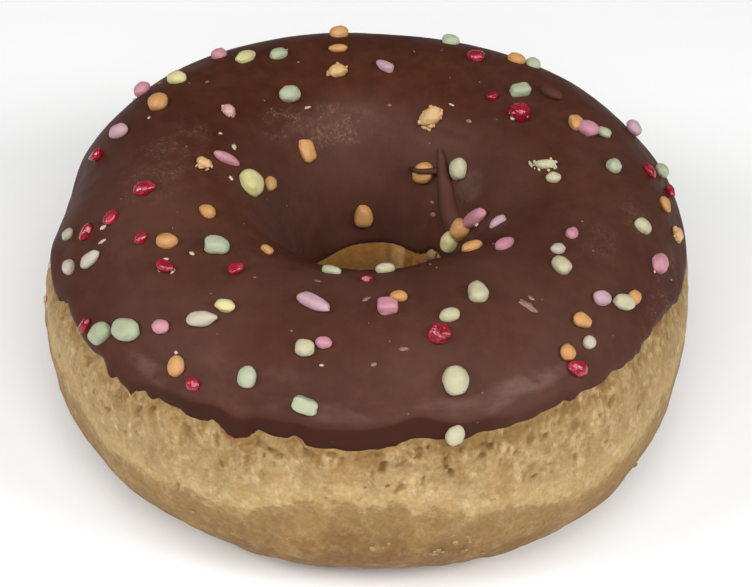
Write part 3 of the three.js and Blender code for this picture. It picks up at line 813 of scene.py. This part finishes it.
def dough_piece(ring):
    """Ring of dough: hidden under the icing, porous below its edge, smoother towards the foot."""
    columns = DOUGH_COLUMNS
    round_angle = np.arange(columns) * 360.0 / columns
    outer, inner = hems(round_angle)
    covered = outer + (inner - outer) * shares(COVERED_ROWS)
    hole = inner + (CRUST_START - inner) * shares(HOLE_ROWS)
    crumb_start = outer + 360.0 - CRUMB_REACH
    crust = CRUST_START + (crumb_start - CRUST_START) * shares(CRUST_ROWS)
    side = np.concatenate([crust, crumb_start + CRUMB_REACH * shares(CRUMB_ROWS)])
    down = outer + 360.0 - side
    browned = (hem_at(CRUST_LINE, round_angle) + 360.0 - side) / 10

    row_pitch = math.radians(CRUMB_REACH / CRUMB_ROWS) * OVER_RADIUS
    column_pitch = math.tau * ROUND_RADIUS / columns
    depths = np.zeros((CRUMB_ROWS, columns))
    pore = np.zeros((CRUMB_ROWS, columns))
    ragged = soft_noise(CRUMB_ROWS, columns, 30, 480, 51)
    press_pits(depths, pore, pore_rows(row_pitch, column_pitch), row_pitch, column_pitch, ragged)

    below_hem = ease(down, 0.0, 2.5)
    crumb_zone = 1 - ease(browned, -0.8, 0.8)
    relief = sum(height * MM * side_noise(side, cell, seed) for height, cell, seed in SIDE_RELIEF)
    relief += 0.028 * MM * side_noise(side, 0.8, 23) * (0.7 + 0.6 * crumb_zone)
    strands = np.clip(np.abs(side_noise(side, 0.95, 24, 2.1)), 0, 1.4)
    strands = strands * np.clip(np.abs(side_noise(side, 0.6, 25, 3.4)), 0, 1.4)
    open_part = 0.5 + 0.5 * side_noise(side, 7.0, 26)
    openness_and_hem_shade = 0.72 + 0.68 * bell(turn_from(MOST_OPEN[0], round_angle), MOST_OPEN[1])
    # Raised just under the icing's edge, so that the crumb's colour paints shade under the lip there
    openness_and_hem_shade = openness_and_hem_shade * (0.75 + 0.6 * (1 - ease(down, 1.5, 9)))
    web = np.clip(strands, 0, 1) * crumb_zone * (1 - ease(down, 5, 14)) * np.clip(open_part, 0.15, 1)
    web = np.clip(web * (0.3 + 0.8 * openness_and_hem_shade), 0, 1)
    relief -= 0.28 * MM * web
    relief *= below_hem * ease(side - CRUST_START, 0, 12)
    relief[CRUST_ROWS:] -= depths * below_hem[CRUST_ROWS:]

    torn = bell(round_angle - TORN_HOLE[0], TORN_HOLE[1])
    shreds = soft_noise(HOLE_ROWS, columns, 4, 110, 61)
    hole_relief = (0.03 + 0.2 * torn) * MM * shreds + 0.08 * MM * soft_noise(HOLE_ROWS, columns, 14, 40, 62)
    hole_relief *= np.clip(np.sin(np.pi * shares(HOLE_ROWS)) * 4, 0, 1)

    soaked = sum(bell(turn_from(place, round_angle), half) for place, half in SOAKED)
    soak = (1 - ease(down, 0.7, 2.7)) * soaked
    under = np.full((COVERED_ROWS, columns), -UNDER_ICING)
    under[0] = 0.0
    hidden = 0 * under
    plain = 0 * shreds
    fields = {
        name: np.concatenate([hidden + values[-1], plain, values])
        for name, values in (("crust", browned), ("web", web), ("open", openness_and_hem_shade), ("soak", soak))
    }
    fields["pore"] = np.concatenate([hidden, plain, 0 * crust, pore])
    fields["inside"] = np.concatenate([hidden, 1 - torn * ease(shreds, 0.1, 0.9), 0 * side])
    fields["hole"] = np.concatenate([hidden, plain + 1, 0 * side])
    overs = np.concatenate([covered, hole, side])
    rises = np.concatenate([under, hole_relief, relief])
    return rolled_ring("dough", overs, rises, ring, fields, kept_columns(columns, *DOUGH_KEPT))


# Pale flakes stuck on the crust: round and over angles, spread in mm and count
CRUST_FLAKES = (
    (-76.5, -17.4, 0.9, 14), (-71.2, -19, 0.4, 4), (-74.2, -6.7, 0.3, 2), (-71.5, -9.5, 1.0, 9),
    (-85.6, -11.9, 0.6, 4), (-101.9, -12.1, 0.6, 4), (-98.9, -9.9, 0.5, 3), (-110.3, -18.5, 0.4, 3),
    (-117.5, -12.6, 0.4, 3), (-112, -2, 0.6, 4), (-120, 0, 0.7, 4), (-61, -11, 0.4, 3), (-67.7, -26, 0.3, 2),
    (-134.5, 24, 0.8, 4), (-139.4, 13.5, 0.8, 4),
)
# Torn bits of dough inside the hole: round and over angles, length and width in mm, and turn
TORN_BITS = ((35, 168.5, 2.6, 1.4, 50), (39, 171, 1.8, 0.9, 70))


class DOUGHNUT_OT_dough(bpy.types.Operator):
    """Makes the ring of dough with its open crumb, browned crust and loose flakes"""

    bl_idname = "doughnut.make_dough"
    bl_label = "Make dough"

    def execute(self, context):
        ring = context.scene.doughnut_ring
        piece = dough_piece(ring)
        piece.data.materials.append(crumb_material(ring))
        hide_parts("dough_ring")
        self.add_flakes(ring)
        return {"FINISHED"}

    def add_flakes(self, ring):
        rng = random.Random(23)
        bm = new_grain_mesh()
        degrees_round = math.degrees(1 * MM / ROUND_RADIUS)
        degrees_over = math.degrees(1 * MM / CRUST_RADIUS)
        places = []
        for round_angle, over, spread, count in CRUST_FLAKES:
            for _ in range(count):
                aside = rng.gauss(0, spread) * degrees_round
                places.append((round_angle + aside, over + rng.gauss(0, spread * 0.7) * degrees_over))
        for _ in range(FLAKE_COUNT):
            places.append((rng.uniform(0, 360), rng.uniform(-35, 22)))
        for place in places:
            length = rng.triangular(0.25, 0.9, 0.35)
            width = length * rng.uniform(0.5, 0.9)
            add_crumb(bm, ring, (*place, length, width, rng.uniform(0, 180)), rng, 0.5, -0.03)
        for row in TORN_BITS:
            add_crumb(bm, ring, row, rng, 0.7, 0.2, 3)
        finish_mesh("dough_flakes", bm, flake_material(ring))


# The icing

# Mesh rows under the outer edge, up the lip's face, over the coat, down the inner lip and back below
UNDER_ROWS = 4
FACE_ROWS = 14
COAT_ROWS = 108
INNER_LIP_ROWS = 8
BACK_ROWS = 6
# Mesh columns all round and those that stay, the same way as the dough's
ICING_COLUMNS = 960
ICING_KEPT = (492, 456, 2)
# Height of the inner lip's face and how far a lip takes to fade into the coat, in degrees of over, curve of a
# lip's face, and how far the coat's edge is turned under
INNER_FACE = 2.6
LIP_FADE = 11.0
FACE_CURVE = 1.35
EDGE_DEPTH = 0.9 * MM
# Columns over which the top of the outer lip's face is evened out
RIDGE_WINDOW = 25

# Lip along the outer edge: round angle, height of its face in degrees of over and how far it stands out in mm
LIP = (
    (-178, 3.0, 0.3), (-166, 3.2, 0.5), (-150, 3.5, 0.75), (-135, 3.5, 0.8), (-125, 5.0, 0.95),
    (-113, 7.5, 1.1), (-104, 6.0, 1.0), (-92, 8.0, 1.2), (-82, 8.0, 1.2), (-72, 5.5, 1.0), (-62, 3.5, 0.8),
    (-45, 2.6, 0.7), (-20, 2.8, 0.6), (5, 3.0, 0.4), (40, 3.0, 0.3), (110, 3.5, 0.3), (160, 3.0, 0.25),
)

# Patches of the coat with pale specks of bloom, with greyish streaks of painted sheen and with broad painted
# sheen: middle and half extent in round and over angles, and strength
PATCHES = {
    "bloom": (
        (122, 121, 24, 9, 0.9), (139, 115.5, 13, 8, 0.75), (105, 122.5, 14, 8, 0.75),
        (-174, 83, 15, 13, 0.36), (173, 92, 12, 9, 0.33), (-18, 46, 16, 8, 0.4), (-4, 68, 9, 7, 0.3),
        (-20, 78, 10, 8, 0.2),
    ),
    # Painted sheen: greyish streaks where the side and overhead lights reflect
    "sheen": (
        (-144, 34, 7, 4, 0.8), (-128, 43, 9, 3.5, 1.0), (-117, 45, 8, 3, 0.7), (-70, 50, 8, 4, 0.9),
        (-60, 54, 9, 4, 1.0), (-100, 49, 22, 3.5, 0.5), (-112, 58, 14, 6, 0.35), (90, 121, 60, 8, 0.3),
        (25, 133, 12, 9, 0.6), (-83, 52, 14, 3, 0.5),
    ),
    # Broad painted sheen on the near side and the slopes of the hole
    "haze": (
        (-90, 72, 115, 48, 1.0), (10, 132, 62, 36, 1.2), (180, 145, 70, 42, 1.2), (92, 146, 80, 40, 1.3),
        (25, 85, 45, 30, 0.6),
    ),
}


def patch_field(patches, round_angle, overs):
    """How strongly the patches show on the coat."""
    total = np.zeros_like(overs)
    for round_middle, over_middle, round_half, over_half, strength in patches:
        aside = turn_from(round_middle, round_angle) / round_half
        away = aside**2 + ((overs - over_middle) / over_half) ** 2
        total = np.maximum(total, strength * ease(1 - away, -0.15, 0.75))
    return total


def lip_at(round_angle):
    """Height of the lip's face in degrees of over, and how far it stands out, at the round angles."""
    heights = [(place, height) for place, height, _ in LIP]
    stands = [(place, stand) for place, _, stand in LIP]
    return hem_at(heights, round_angle), hem_at(stands, round_angle) * MM


def lip_rise(icing, up_face, beyond, stand):
    """How far the coat stands out, from its edge up the face of the lip and beyond it to the plain coat."""
    top = stand * (1 - np.clip(1 - up_face, 0, 1) ** FACE_CURVE) ** (1 / FACE_CURVE)
    fade = 1 - ease(beyond, 0, LIP_FADE)
    return icing.rise * (1 - fade) + top * fade


def coat_rise(icing, round_angle, over):
    """How far the coat stands out at one place, lip and all."""
    face, stand = lip_at(round_angle)
    beyond = over - hem_at(OUTER_HEM, round_angle) - face
    return float(lip_rise(icing, 1 + beyond / face, beyond, stand))


def icing_piece(ring, icing):
    """Coat of icing with soft waves and the face of its lips, closed underneath."""
    columns = ICING_COLUMNS
    round_angle = np.arange(columns) * 360.0 / columns
    outer, inner = hems(round_angle)
    face, stand = lip_at(round_angle)
    stand *= 1 + 0.07 * soft_noise(1, columns, 4, 50, 41)[0]

    under_share = shares(UNDER_ROWS)
    under = outer + 1.0 - under_share
    half = RIDGE_WINDOW // 2
    window = np.hanning(RIDGE_WINDOW)
    wrapped = np.concatenate([outer[-half:], outer, outer[:half]])
    ridge = np.convolve(wrapped, window / window.sum(), "valid") + face
    face_overs = outer + (ridge - outer) * shares(FACE_ROWS) ** 1.5
    coat = ridge + (inner - INNER_FACE - ridge) * shares(COAT_ROWS)
    inner_share = np.linspace(0, 1, INNER_LIP_ROWS)[:, None]
    inner_lip = inner - INNER_FACE * (1 - inner_share) ** 1.3
    back_share = shares(BACK_ROWS) + 0.5 / BACK_ROWS
    back = inner - 2 + (outer + 4 - inner) * back_share

    top = np.concatenate([face_overs, coat, inner_lip])
    rows = len(top)
    from_outer, from_inner = top - outer, inner - top
    to_outer = lip_rise(icing, from_outer / (ridge - outer), top - ridge, stand)
    to_inner = lip_rise(icing, from_inner / INNER_FACE, from_inner - INNER_FACE, icing.inner_lip)
    edge_distance = np.minimum(from_outer, from_inner)
    waves = 0.12 * MM * soft_noise(rows, columns, 12, 24, 42)
    waves += 0.025 * MM * soft_noise(rows, columns, 34, 70, 43)
    rise = np.where(from_outer < from_inner, to_outer, to_inner) + waves * ease(edge_distance, 1, 14)
    rise += 0.007 * MM * soft_noise(rows, columns, 64, 300, 45) * ease(edge_distance, 0, 2)

    # Painted shade on the lip's face, from the hem to just over the ridge and stronger where the face is
    # taller; the turned-under edge and the back take it fully
    painted_lip_shade = (1 - ease(top - ridge, -1.2, 0.5)) * (0.25 + 0.75 * ease(face, 2.6, 6.5))
    fields = {
        name: np.concatenate([0 * under, patch_field(patches, round_angle, top), 0 * back])
        for name, patches in PATCHES.items()
    }
    fields["lip"] = np.concatenate([1 + 0 * under, painted_lip_shade, 1 + 0 * back])
    overs = np.concatenate([under, top, back])
    rises = np.concatenate([EDGE_DEPTH * (under_share - 1) + 0 * under, rise, 0 * back - icing.depth])
    return rolled_ring("icing", overs, rises, ring, fields, kept_columns(columns, *ICING_KEPT))


class DOUGHNUT_OT_icing(bpy.types.Operator):
    """Makes the coat of chocolate icing"""

    bl_idname = "doughnut.make_icing"
    bl_label = "Make icing"

    def execute(self, context):
        icing = context.scene.doughnut_icing
        piece = icing_piece(context.scene.doughnut_ring, icing)
        piece.data.materials.append(icing_material(icing))
        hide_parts("chocolate_icing")
        return {"FINISHED"}


# The sprinkles

# Sprinkles of the far side: how many, the round and over angles between which they lie, the mean length, its
# spread and the width in mm, and the golden part that spreads them
FAR_COUNT = 9
FAR_ROUND = (48, 136)
FAR_OVER = (34, 39.5)
FAR_LENGTH = 2.8
FAR_SPREAD = 0.9
FAR_WIDTH = 2.3
GOLDEN_PART = 0.618
FAR_SEED = 7
NUGGET_SUBDIVISIONS = 4
BIT_SUBDIVISIONS = 3
RAGGED_BITS = 14
CLUSTER_BITS = 6


def seeded_random(seed):
    """Repeatable random numbers from 0 to 1, the same as the solids use."""
    state = seed
    while True:
        state = (state * 16807) % 2147483647
        yield state / 2147483647


def far_sprinkles():
    """Sprinkles of the far side, spread by the golden part with a little scatter."""
    numbers = seeded_random(FAR_SEED)
    span = FAR_ROUND[1] - FAR_ROUND[0]
    rows = []
    for index in range(FAR_COUNT):
        round_angle = FAR_ROUND[0] + span * (index + 0.8 * next(numbers)) / FAR_COUNT
        over = FAR_OVER[0] + (FAR_OVER[1] - FAR_OVER[0]) * (index * GOLDEN_PART % 1)
        length = FAR_LENGTH + FAR_SPREAD * (next(numbers) - 0.5)
        rows.append((round_angle, over, length, FAR_WIDTH, 180 * next(numbers)))
    return rows


def drawn_vector(draw):
    """Vector of three random draws."""
    return Vector((draw(), draw(), draw()))


def far_offset(rng):
    """Random place far off in the noise."""
    return drawn_vector(lambda: rng.uniform(-50, 50))


def add_ball(bm, place, half, shaped, shade, crumbly, subdivisions):
    """Adds a unit ball, moved point by point to a shape, stretched to half its size and set in its place."""
    made = bmesh.ops.create_icosphere(bm, subdivisions=subdivisions, radius=1.0)
    tone = bm.verts.layers.float["tone"]
    loose = bm.verts.layers.float["crumbly"]
    for vertex in made["verts"]:
        vertex.co = place @ (shaped(vertex.co) * half)
        vertex[tone] = shade
        vertex[loose] = crumbly


def nugget_point(point, form, cuts, offset, rough):
    """A point of a unit ball moved to a nugget: squared, narrowed to one end, with blunt flats and lumps."""
    taper, squareness = form
    size = sum(abs(value) ** squareness for value in point) ** (-1 / squareness)
    moved = point * size
    narrow = 1 - taper * (0.5 + 0.5 * moved.x)
    moved.y *= narrow
    moved.z *= narrow
    for direction, reach in cuts:
        beyond = moved.dot(direction) - reach
        if beyond > 0:
            moved -= direction * beyond * 0.85
    moved *= 1 + 0.11 * noise.noise(point * 1.3 + offset) + 0.02 * noise.noise(point * 4 + offset)
    grit = 0.7 * noise.noise(point * 2.4 - offset) + 0.4 * noise.noise(point * 6 - offset)
    return moved * (1 + rough * grit)


def add_nugget(bm, place, size, form_name, rng, crumbly=0, subdivisions=NUGGET_SUBDIVISIONS):
    """Adds one nugget with its length along X at a place on the icing."""
    taper, squareness, cut_count, closest = FORMS[form_name]
    cuts = []
    for _ in range(cut_count):
        direction = drawn_vector(lambda: rng.gauss(0, 1)).normalized()
        cuts.append((direction, rng.uniform(closest, 1.0)))
    offset = far_offset(rng)
    rough = 0.13 if crumbly else 0.0

    def shaped(point):
        return nugget_point(point, (taper, squareness), cuts, offset, rough)

    add_ball(bm, place, Vector(size) * 0.5, shaped, rng.random(), crumbly, subdivisions)


def add_bit(bm, place, aside, spin, size, form_name, rng, crumbly):
    """Adds one small nugget beside a sprinkle's middle, spun by an angle."""
    turned = place @ Matrix.Translation(aside) @ Matrix.Rotation(spin, 4, "Z")
    add_nugget(bm, turned, size, form_name, rng, crumbly, BIT_SUBDIVISIONS)


def add_sprinkle(bm, ring, icing, settings, row, rng):
    """Adds one sprinkle: a single nugget, a cluster of glassy ones or a ragged one with loose bits."""
    round_angle, over, length, width = row[:4]
    turn, form = (*row[4:], *(0, "ball")[len(row) - 4 :])
    length, width = length * settings.fullness * MM, width * settings.fullness * MM
    tall = width * settings.thickness
    lift = width * settings.lift + coat_rise(icing, round_angle, over)
    place = surface_frame(ring, round_angle, over, lift) @ Matrix.Rotation(math.radians(turn), 4, "Z")

    def beside(angle, reach, low, high):
        """Place beside the middle, with a random height."""
        height = rng.uniform(low, high) * tall
        return reach * length * math.cos(angle), reach * width * math.sin(angle), height

    if form == "cluster":
        add_nugget(bm, place, (0.88 * length, 0.88 * width, tall), "glassy", rng)
        for _ in range(CLUSTER_BITS):
            aside = beside(rng.uniform(0, math.tau), rng.uniform(0.22, 0.34), -0.1, 0.3)
            spin = rng.uniform(0, math.tau)
            share = rng.uniform(0.3, 0.5)
            size = (share * length, share * width, share * tall)
            add_bit(bm, place, aside, spin, size, "glassy", rng, 0)
    elif form == "ragged":
        add_nugget(bm, place, (0.9 * length, 0.86 * width, 0.8 * tall), "ragged", rng, 1)
        for index in range(RAGGED_BITS):
            aside = beside(rng.gauss(0, 0.75) + math.pi * (index % 2), rng.uniform(0.34, 0.5), -0.3, 0.1)
            spin = rng.uniform(0, math.tau)
            size = (
                rng.uniform(0.12, 0.3) * length,
                rng.uniform(0.12, 0.26) * width,
                rng.uniform(0.2, 0.4) * tall,
            )
            add_bit(bm, place, aside, spin, size, "ragged", rng, 1)
    else:
        add_nugget(bm, place, (length, width, tall), form, rng)


def new_grain_mesh():
    """Empty bmesh with the attributes that the sugar's materials read."""
    bm = bmesh.new()
    bm.verts.layers.float.new("tone")
    bm.verts.layers.float.new("crumbly")
    return bm


def finish_mesh(name, bm, material):
    """Smooth piece from a bmesh, riding on the doughnut."""
    for face in bm.faces:
        face.smooth = True
    piece = add_piece(name, mesh_from(name, bm))
    piece.data.materials.append(material)


class DOUGHNUT_OT_sprinkles(bpy.types.Operator):
    """Makes the sugar sprinkles, one piece for each colour"""

    bl_idname = "doughnut.make_sprinkles"
    bl_label = "Make sprinkles"

    def execute(self, context):
        ring = context.scene.doughnut_ring
        icing = context.scene.doughnut_icing
        settings = context.scene.doughnut_sprinkles
        far = far_sprinkles()
        for index, name in enumerate(SPRINKLES):
            rng = random.Random(100 + index)
            bm = new_grain_mesh()
            for row in (*SPRINKLES[name], *far[index :: len(SPRINKLES)]):
                add_sprinkle(bm, ring, icing, settings, row, rng)
            material = sugar_material(name, tuple(getattr(settings, name)), name == "red")
            finish_mesh(f"sprinkles_{name}", bm, material)
        return {"FINISHED"}


# Drawn-out chocolate and crumbs

# Chocolate drawn out to a point along the wall of the hole, and the strap that joins it: round and
# over angles, rise over the icing and radius in mm
SPIKE = (
    (14, 147, -0.4, 1.7), (22, 146.3, 0, 1.68), (30, 144.3, 0.3, 1.5), (37.5, 141, 0.5, 1.2),
    (45.5, 136, 0.5, 0.9), (52, 130.8, 0.5, 0.6), (54.5, 128.6, 0.6, 0.4), (55.5, 127.2, 0.7, 0.24),
)
STRAP = (
    (71, 136.8, -0.1, 0.2), (68, 137, 0.9, 0.3), (64, 137.5, 2.0, 0.35), (60, 137.6, 2.35, 0.36),
    (56, 136.8, 1.7, 0.42), (52.5, 135.4, 0.7, 0.5), (49.5, 134, 0.2, 0.55),
)
# Sprinkle under the coat, the same way as the others
COATED = (40.5, 84, 3.8, 2.0, 15)
TUBE_SIDES = 16
# How strongly the broad painted sheen lightens the drawn-out chocolate and the coated sprinkle
DRAWN_BROAD_SHEEN = 1.5

# Bits of sugar and dough: round and over angles, length, width and turn
FLAKES = (
    (165.5, 77, 0.5, 0.4, 0), (166.5, 102.5, 0.7, 0.6, 0), (170, 108, 1.1, 0.7, 10),
    (-172.5, 110, 0.8, 0.5, 40), (-161.4, 62.8, 1.0, 0.6, 75), (-158.3, 60.8, 1.3, 0.5, 75),
    (-141, 84.5, 0.8, 0.5, 20), (-143.5, 76, 0.9, 0.4, 60), (-139.5, 75, 0.8, 0.4, 110),
    (-142, 72, 0.7, 0.4, 0), (-126.5, 53, 0.5, 0.4, 0), (-98.5, 64.5, 0.6, 0.3, 0),
    (122.5, 113.5, 1.0, 0.35, 0), (61.5, 110, 0.9, 0.3, -10), (15, 107, 1.4, 0.45, 10),
    (38.5, 103.5, 0.8, 0.6, 0), (-4, 131.5, 1.8, 0.7, 30), (-16, 54.5, 0.5, 0.4, 0),
    (153.5, 60, 0.7, 0.5, 60), (-102.5, 51, 0.7, 0.4, 60), (-170, 28.5, 1.8, 0.9, 70),
    (-168.5, 12, 1.3, 0.9, 80), (117, 82, 0.6, 0.5, 0), (-12, 44, 0.5, 0.4, 0),
)
# Duller bits, half drowned in the icing
DULL_FLAKES = (
    (145, 85, 0.8, 0.5, 0), (125, 83, 0.8, 0.4, 0), (-82.5, 71, 1.1, 0.5, 0), (-88.5, 66, 0.8, 0.5, 20),
    (-91, 91.5, 1.2, 0.6, 40), (-106.5, 100.5, 1.2, 0.6, 0), (95, 111, 0.6, 0.4, 0), (87, 114.5, 0.5, 0.4, 0),
    (51, 113.5, 0.9, 0.5, 0), (44, 151.5, 1.0, 0.6, 35), (-53, 77, 2.6, 1.0, -66), (-51, 79, 1.2, 0.6, -60),
    (-101.5, 45, 1.6, 0.5, 0), (-105, 42, 1.2, 0.6, 20), (148, 66, 0.9, 0.7, 0), (100, 111, 0.5, 0.3, 0),
    (48, 147, 0.7, 0.4, 20), (-112, 96, 0.6, 0.4, 0),
)
SCATTERED_CRUMBS = 45


def add_tube(bm, stations):
    """Adds a closed tube that swells and tapers through its stations of X, Y, Z and radius."""
    points = [Vector(station[:3]) for station in stations]
    end_edges = None
    for index, point in enumerate(points):
        ahead = points[min(index + 1, len(points) - 1)] - points[max(index - 1, 0)]
        place = Matrix.Translation(point) @ ahead.normalized().to_track_quat("Z", "X").to_matrix().to_4x4()
        radius = stations[index][3]
        circle = bmesh.ops.create_circle(bm, segments=TUBE_SIDES, radius=radius, matrix=place)["verts"]
        edges = [edge for edge in bm.edges if edge.verts[0] in circle and edge.verts[1] in circle]
        if end_edges is None:
            bmesh.ops.contextual_create(bm, geom=edges)
        else:
            bmesh.ops.bridge_loops(bm, edges=end_edges + edges)
        end_edges = edges
    bmesh.ops.contextual_create(bm, geom=end_edges)


def smooth_path(points, count):
    """Points on a smooth curve through the given points."""
    last = len(points) - 1
    path = []
    for place in np.linspace(0, last, count):
        index = min(int(place), last - 1)
        part = place - index
        before, here = points[max(index - 1, 0)], points[index]
        there, after = points[index + 1], points[min(index + 2, last)]
        slope = there - before
        bend = 2 * before - 5 * here + 4 * there - after
        twist = 3 * here - before - 3 * there + after
        path.append(0.5 * (2 * here + slope * part + bend * part**2 + twist * part**3))
    return path


class DOUGHNUT_OT_drawn_chocolate(bpy.types.Operator):
    """Makes the spike and the strap of chocolate in the hole, and the coated sprinkle"""

    bl_idname = "doughnut.make_drawn_chocolate"
    bl_label = "Make drawn-out chocolate"

    def execute(self, context):
        ring = context.scene.doughnut_ring
        bm = new_grain_mesh()
        haze = bm.verts.layers.float.new("haze")
        for rows, count in ((SPIKE, 40), (STRAP, 32)):
            stations = [
                np.append(ring_point(ring, round_angle, over, rise * MM), radius * MM)
                for round_angle, over, rise, radius in rows
            ]
            add_tube(bm, smooth_path(stations, count))
        add_sprinkle(
            bm, ring, context.scene.doughnut_icing, context.scene.doughnut_sprinkles, COATED, random.Random(3)
        )
        bmesh.ops.recalc_face_normals(bm, faces=bm.faces)
        # Paints the broad sheen over all of the drawn-out chocolate
        for vertex in bm.verts:
            vertex[haze] = DRAWN_BROAD_SHEEN
        finish_mesh("drawn_chocolate", bm, bpy.data.materials["Chocolate icing"])
        return {"FINISHED"}


def add_crumb(bm, ring, row, rng, thickness=0.7, rise=0.15, subdivisions=2):
    """Adds one small crumb or flake from its round and over angles, length and width in mm, and turn."""
    round_angle, over, length, width, turn = row
    offset = far_offset(rng)
    tall = width * thickness
    place = surface_frame(ring, round_angle, over, (rise + 0.15 * tall) * MM)
    place = place @ Matrix.Rotation(math.radians(turn), 4, "Z")

    def shaped(point):
        return point * (1 + 0.4 * noise.noise(point * 1.7 + offset))

    add_ball(bm, place, Vector((length, width, tall)) * 0.5 * MM, shaped, rng.random(), 0, subdivisions)


class DOUGHNUT_OT_crumbs(bpy.types.Operator):
    """Makes the loose crumbs and flakes of sugar"""

    bl_idname = "doughnut.make_crumbs"
    bl_label = "Make crumbs"

    def execute(self, context):
        ring = context.scene.doughnut_ring
        settings = context.scene.doughnut_sprinkles
        rng = random.Random(17)
        pale = new_grain_mesh()
        for row in FLAKES:
            add_crumb(pale, ring, row, rng, 0.5, 0.15, 3)
        dull = new_grain_mesh()
        for row in DULL_FLAKES:
            add_crumb(dull, ring, row, rng, 0.45, 0.08, 3)
        for _ in range(SCATTERED_CRUMBS):
            size = rng.triangular(0.2, 0.5, 0.25)
            near = (rng.uniform(0, 360), rng.uniform(50, 140))
            add_crumb(dull, ring, (*near, size, size * rng.uniform(0.5, 0.9), rng.uniform(0, 180)), rng)
        finish_mesh("sugar_crumbs", pale, sugar_material("pale crumbs", tuple(settings.crumbs)))
        finish_mesh("drowned_crumbs", dull, sugar_material("drowned crumbs", tuple(settings.drowned)))
        return {"FINISHED"}


# The stage

# Soft lights: name, place, width in metres and power in watts
LIGHTS = (
    ("Overhead softbox", (0.0, -0.46, 0.63), 0.7, 5.35),
    ("Left softbox", (-0.6, -0.3, 0.5), 0.3, 2.7),
    ("Right softbox", (0.6, -0.3, 0.5), 0.3, 3.1),
    ("Front fill", (0.0, -0.75, 0.55), 0.5, 0.1),
)
LIGHT_AIM = Vector((0, 0, 0.02))
FLOOR_HALF_SIZE = 3.0
FLOOR_FINISH = {"Base Color": (0.9, 0.9, 0.9), "Roughness": 0.9}
ROOM_BRIGHTNESS = 0.13


class DOUGHNUT_OT_stage(bpy.types.Operator):
    """Makes the pale floor, the soft lights and the camera"""

    bl_idname = "doughnut.make_stage"
    bl_label = "Make stage"

    def execute(self, context):
        self.add_floor()
        for light in LIGHTS:
            self.add_light(*light)
        self.add_room(context.scene)
        self.add_camera(context.scene)
        context.scene.view_settings.view_transform = "Standard"
        return {"FINISHED"}

    def add_floor(self):
        bm = bmesh.new()
        bmesh.ops.create_grid(bm, x_segments=2, y_segments=2, size=FLOOR_HALF_SIZE)
        floor = add_object("floor", mesh_from("floor", bm))
        material, nodes, shader, _ = new_material("Pale floor")
        nodes.fill(shader, FLOOR_FINISH)
        floor.data.materials.append(material)

    def add_light(self, name, location, size, power):
        light = bpy.data.lights.new(name, "AREA")
        light.shape = "DISK"
        light.size = size
        light.energy = power
        lamp = add_object(name, light)
        lamp.location = location
        lamp.rotation_euler = (LIGHT_AIM - Vector(location)).to_track_quat("-Z", "Y").to_euler()

    def add_room(self, scene):
        world = bpy.data.worlds.new("Soft room")
        world.use_nodes = True
        nodes = Nodes(world.node_tree)
        room = {"Color": (1.0, 1.0, 1.0), "Strength": ROOM_BRIGHTNESS}
        nodes.fill(world.node_tree.nodes["Background"], room)
        scene.world = world

    def add_camera(self, scene):
        stage = scene.doughnut_stage
        camera = bpy.data.cameras.new("Camera")
        camera.sensor_width = 36.0
        camera.lens = stage.lens
        camera.clip_start = 0.01
        turn = Matrix.Rotation(math.pi / 2 - stage.elevation, 3, "X") @ Matrix.Rotation(stage.roll, 3, "Z")
        right, up, back = turn.col
        aim = Vector((scene.doughnut_ring.shift, 0.0, stage.aim_height))
        aim += right * stage.aim_right - up * stage.aim_down
        scene.camera = add_object("Camera", camera)
        scene.camera.matrix_world = Matrix.Translation(aim + back * stage.distance) @ turn.to_4x4()


class DOUGHNUT_PT_panel(bpy.types.Panel):
    """Lists the steps of the doughnut"""

    bl_idname = "DOUGHNUT_PT_panel"
    bl_label = "Chocolate Doughnut"
    bl_space_type = "VIEW_3D"
    bl_region_type = "UI"
    bl_category = "Doughnut"

    def draw(self, context):
        layout = self.layout
        for name in ("doughnut_ring", "doughnut_icing", "doughnut_sprinkles", "doughnut_stage"):
            settings = getattr(context.scene, name)
            box = layout.box()
            for key in settings.__annotations__:
                box.prop(settings, key)
        for operator in OPERATORS:
            layout.operator(operator.bl_idname)


SETTINGS = {
    "doughnut_ring": DoughnutRing,
    "doughnut_icing": DoughnutIcing,
    "doughnut_sprinkles": DoughnutSprinkles,
    "doughnut_stage": DoughnutStage,
}
OPERATORS = (
    DOUGHNUT_OT_dough,
    DOUGHNUT_OT_icing,
    DOUGHNUT_OT_sprinkles,
    DOUGHNUT_OT_drawn_chocolate,
    DOUGHNUT_OT_crumbs,
    DOUGHNUT_OT_stage,
)


def register():
    for settings in SETTINGS.values():
        bpy.utils.register_class(settings)
    for operator in OPERATORS:
        bpy.utils.register_class(operator)
    bpy.utils.register_class(DOUGHNUT_PT_panel)
    for name, settings in SETTINGS.items():
        setattr(bpy.types.Scene, name, PointerProperty(type=settings))


def unregister():
    for name in SETTINGS:
        delattr(bpy.types.Scene, name)
    bpy.utils.unregister_class(DOUGHNUT_PT_panel)
    for operator in reversed(OPERATORS):
        bpy.utils.unregister_class(operator)
    for settings in reversed(SETTINGS.values()):
        bpy.utils.unregister_class(settings)


def main():
    register()
    bpy.ops.doughnut.make_dough()
    bpy.ops.doughnut.make_icing()
    bpy.ops.doughnut.make_sprinkles()
    bpy.ops.doughnut.make_drawn_chocolate()
    bpy.ops.doughnut.make_crumbs()
    bpy.ops.doughnut.make_stage()
    bpy.context.view_layer.update()


if __name__ == "__main__":
    main()
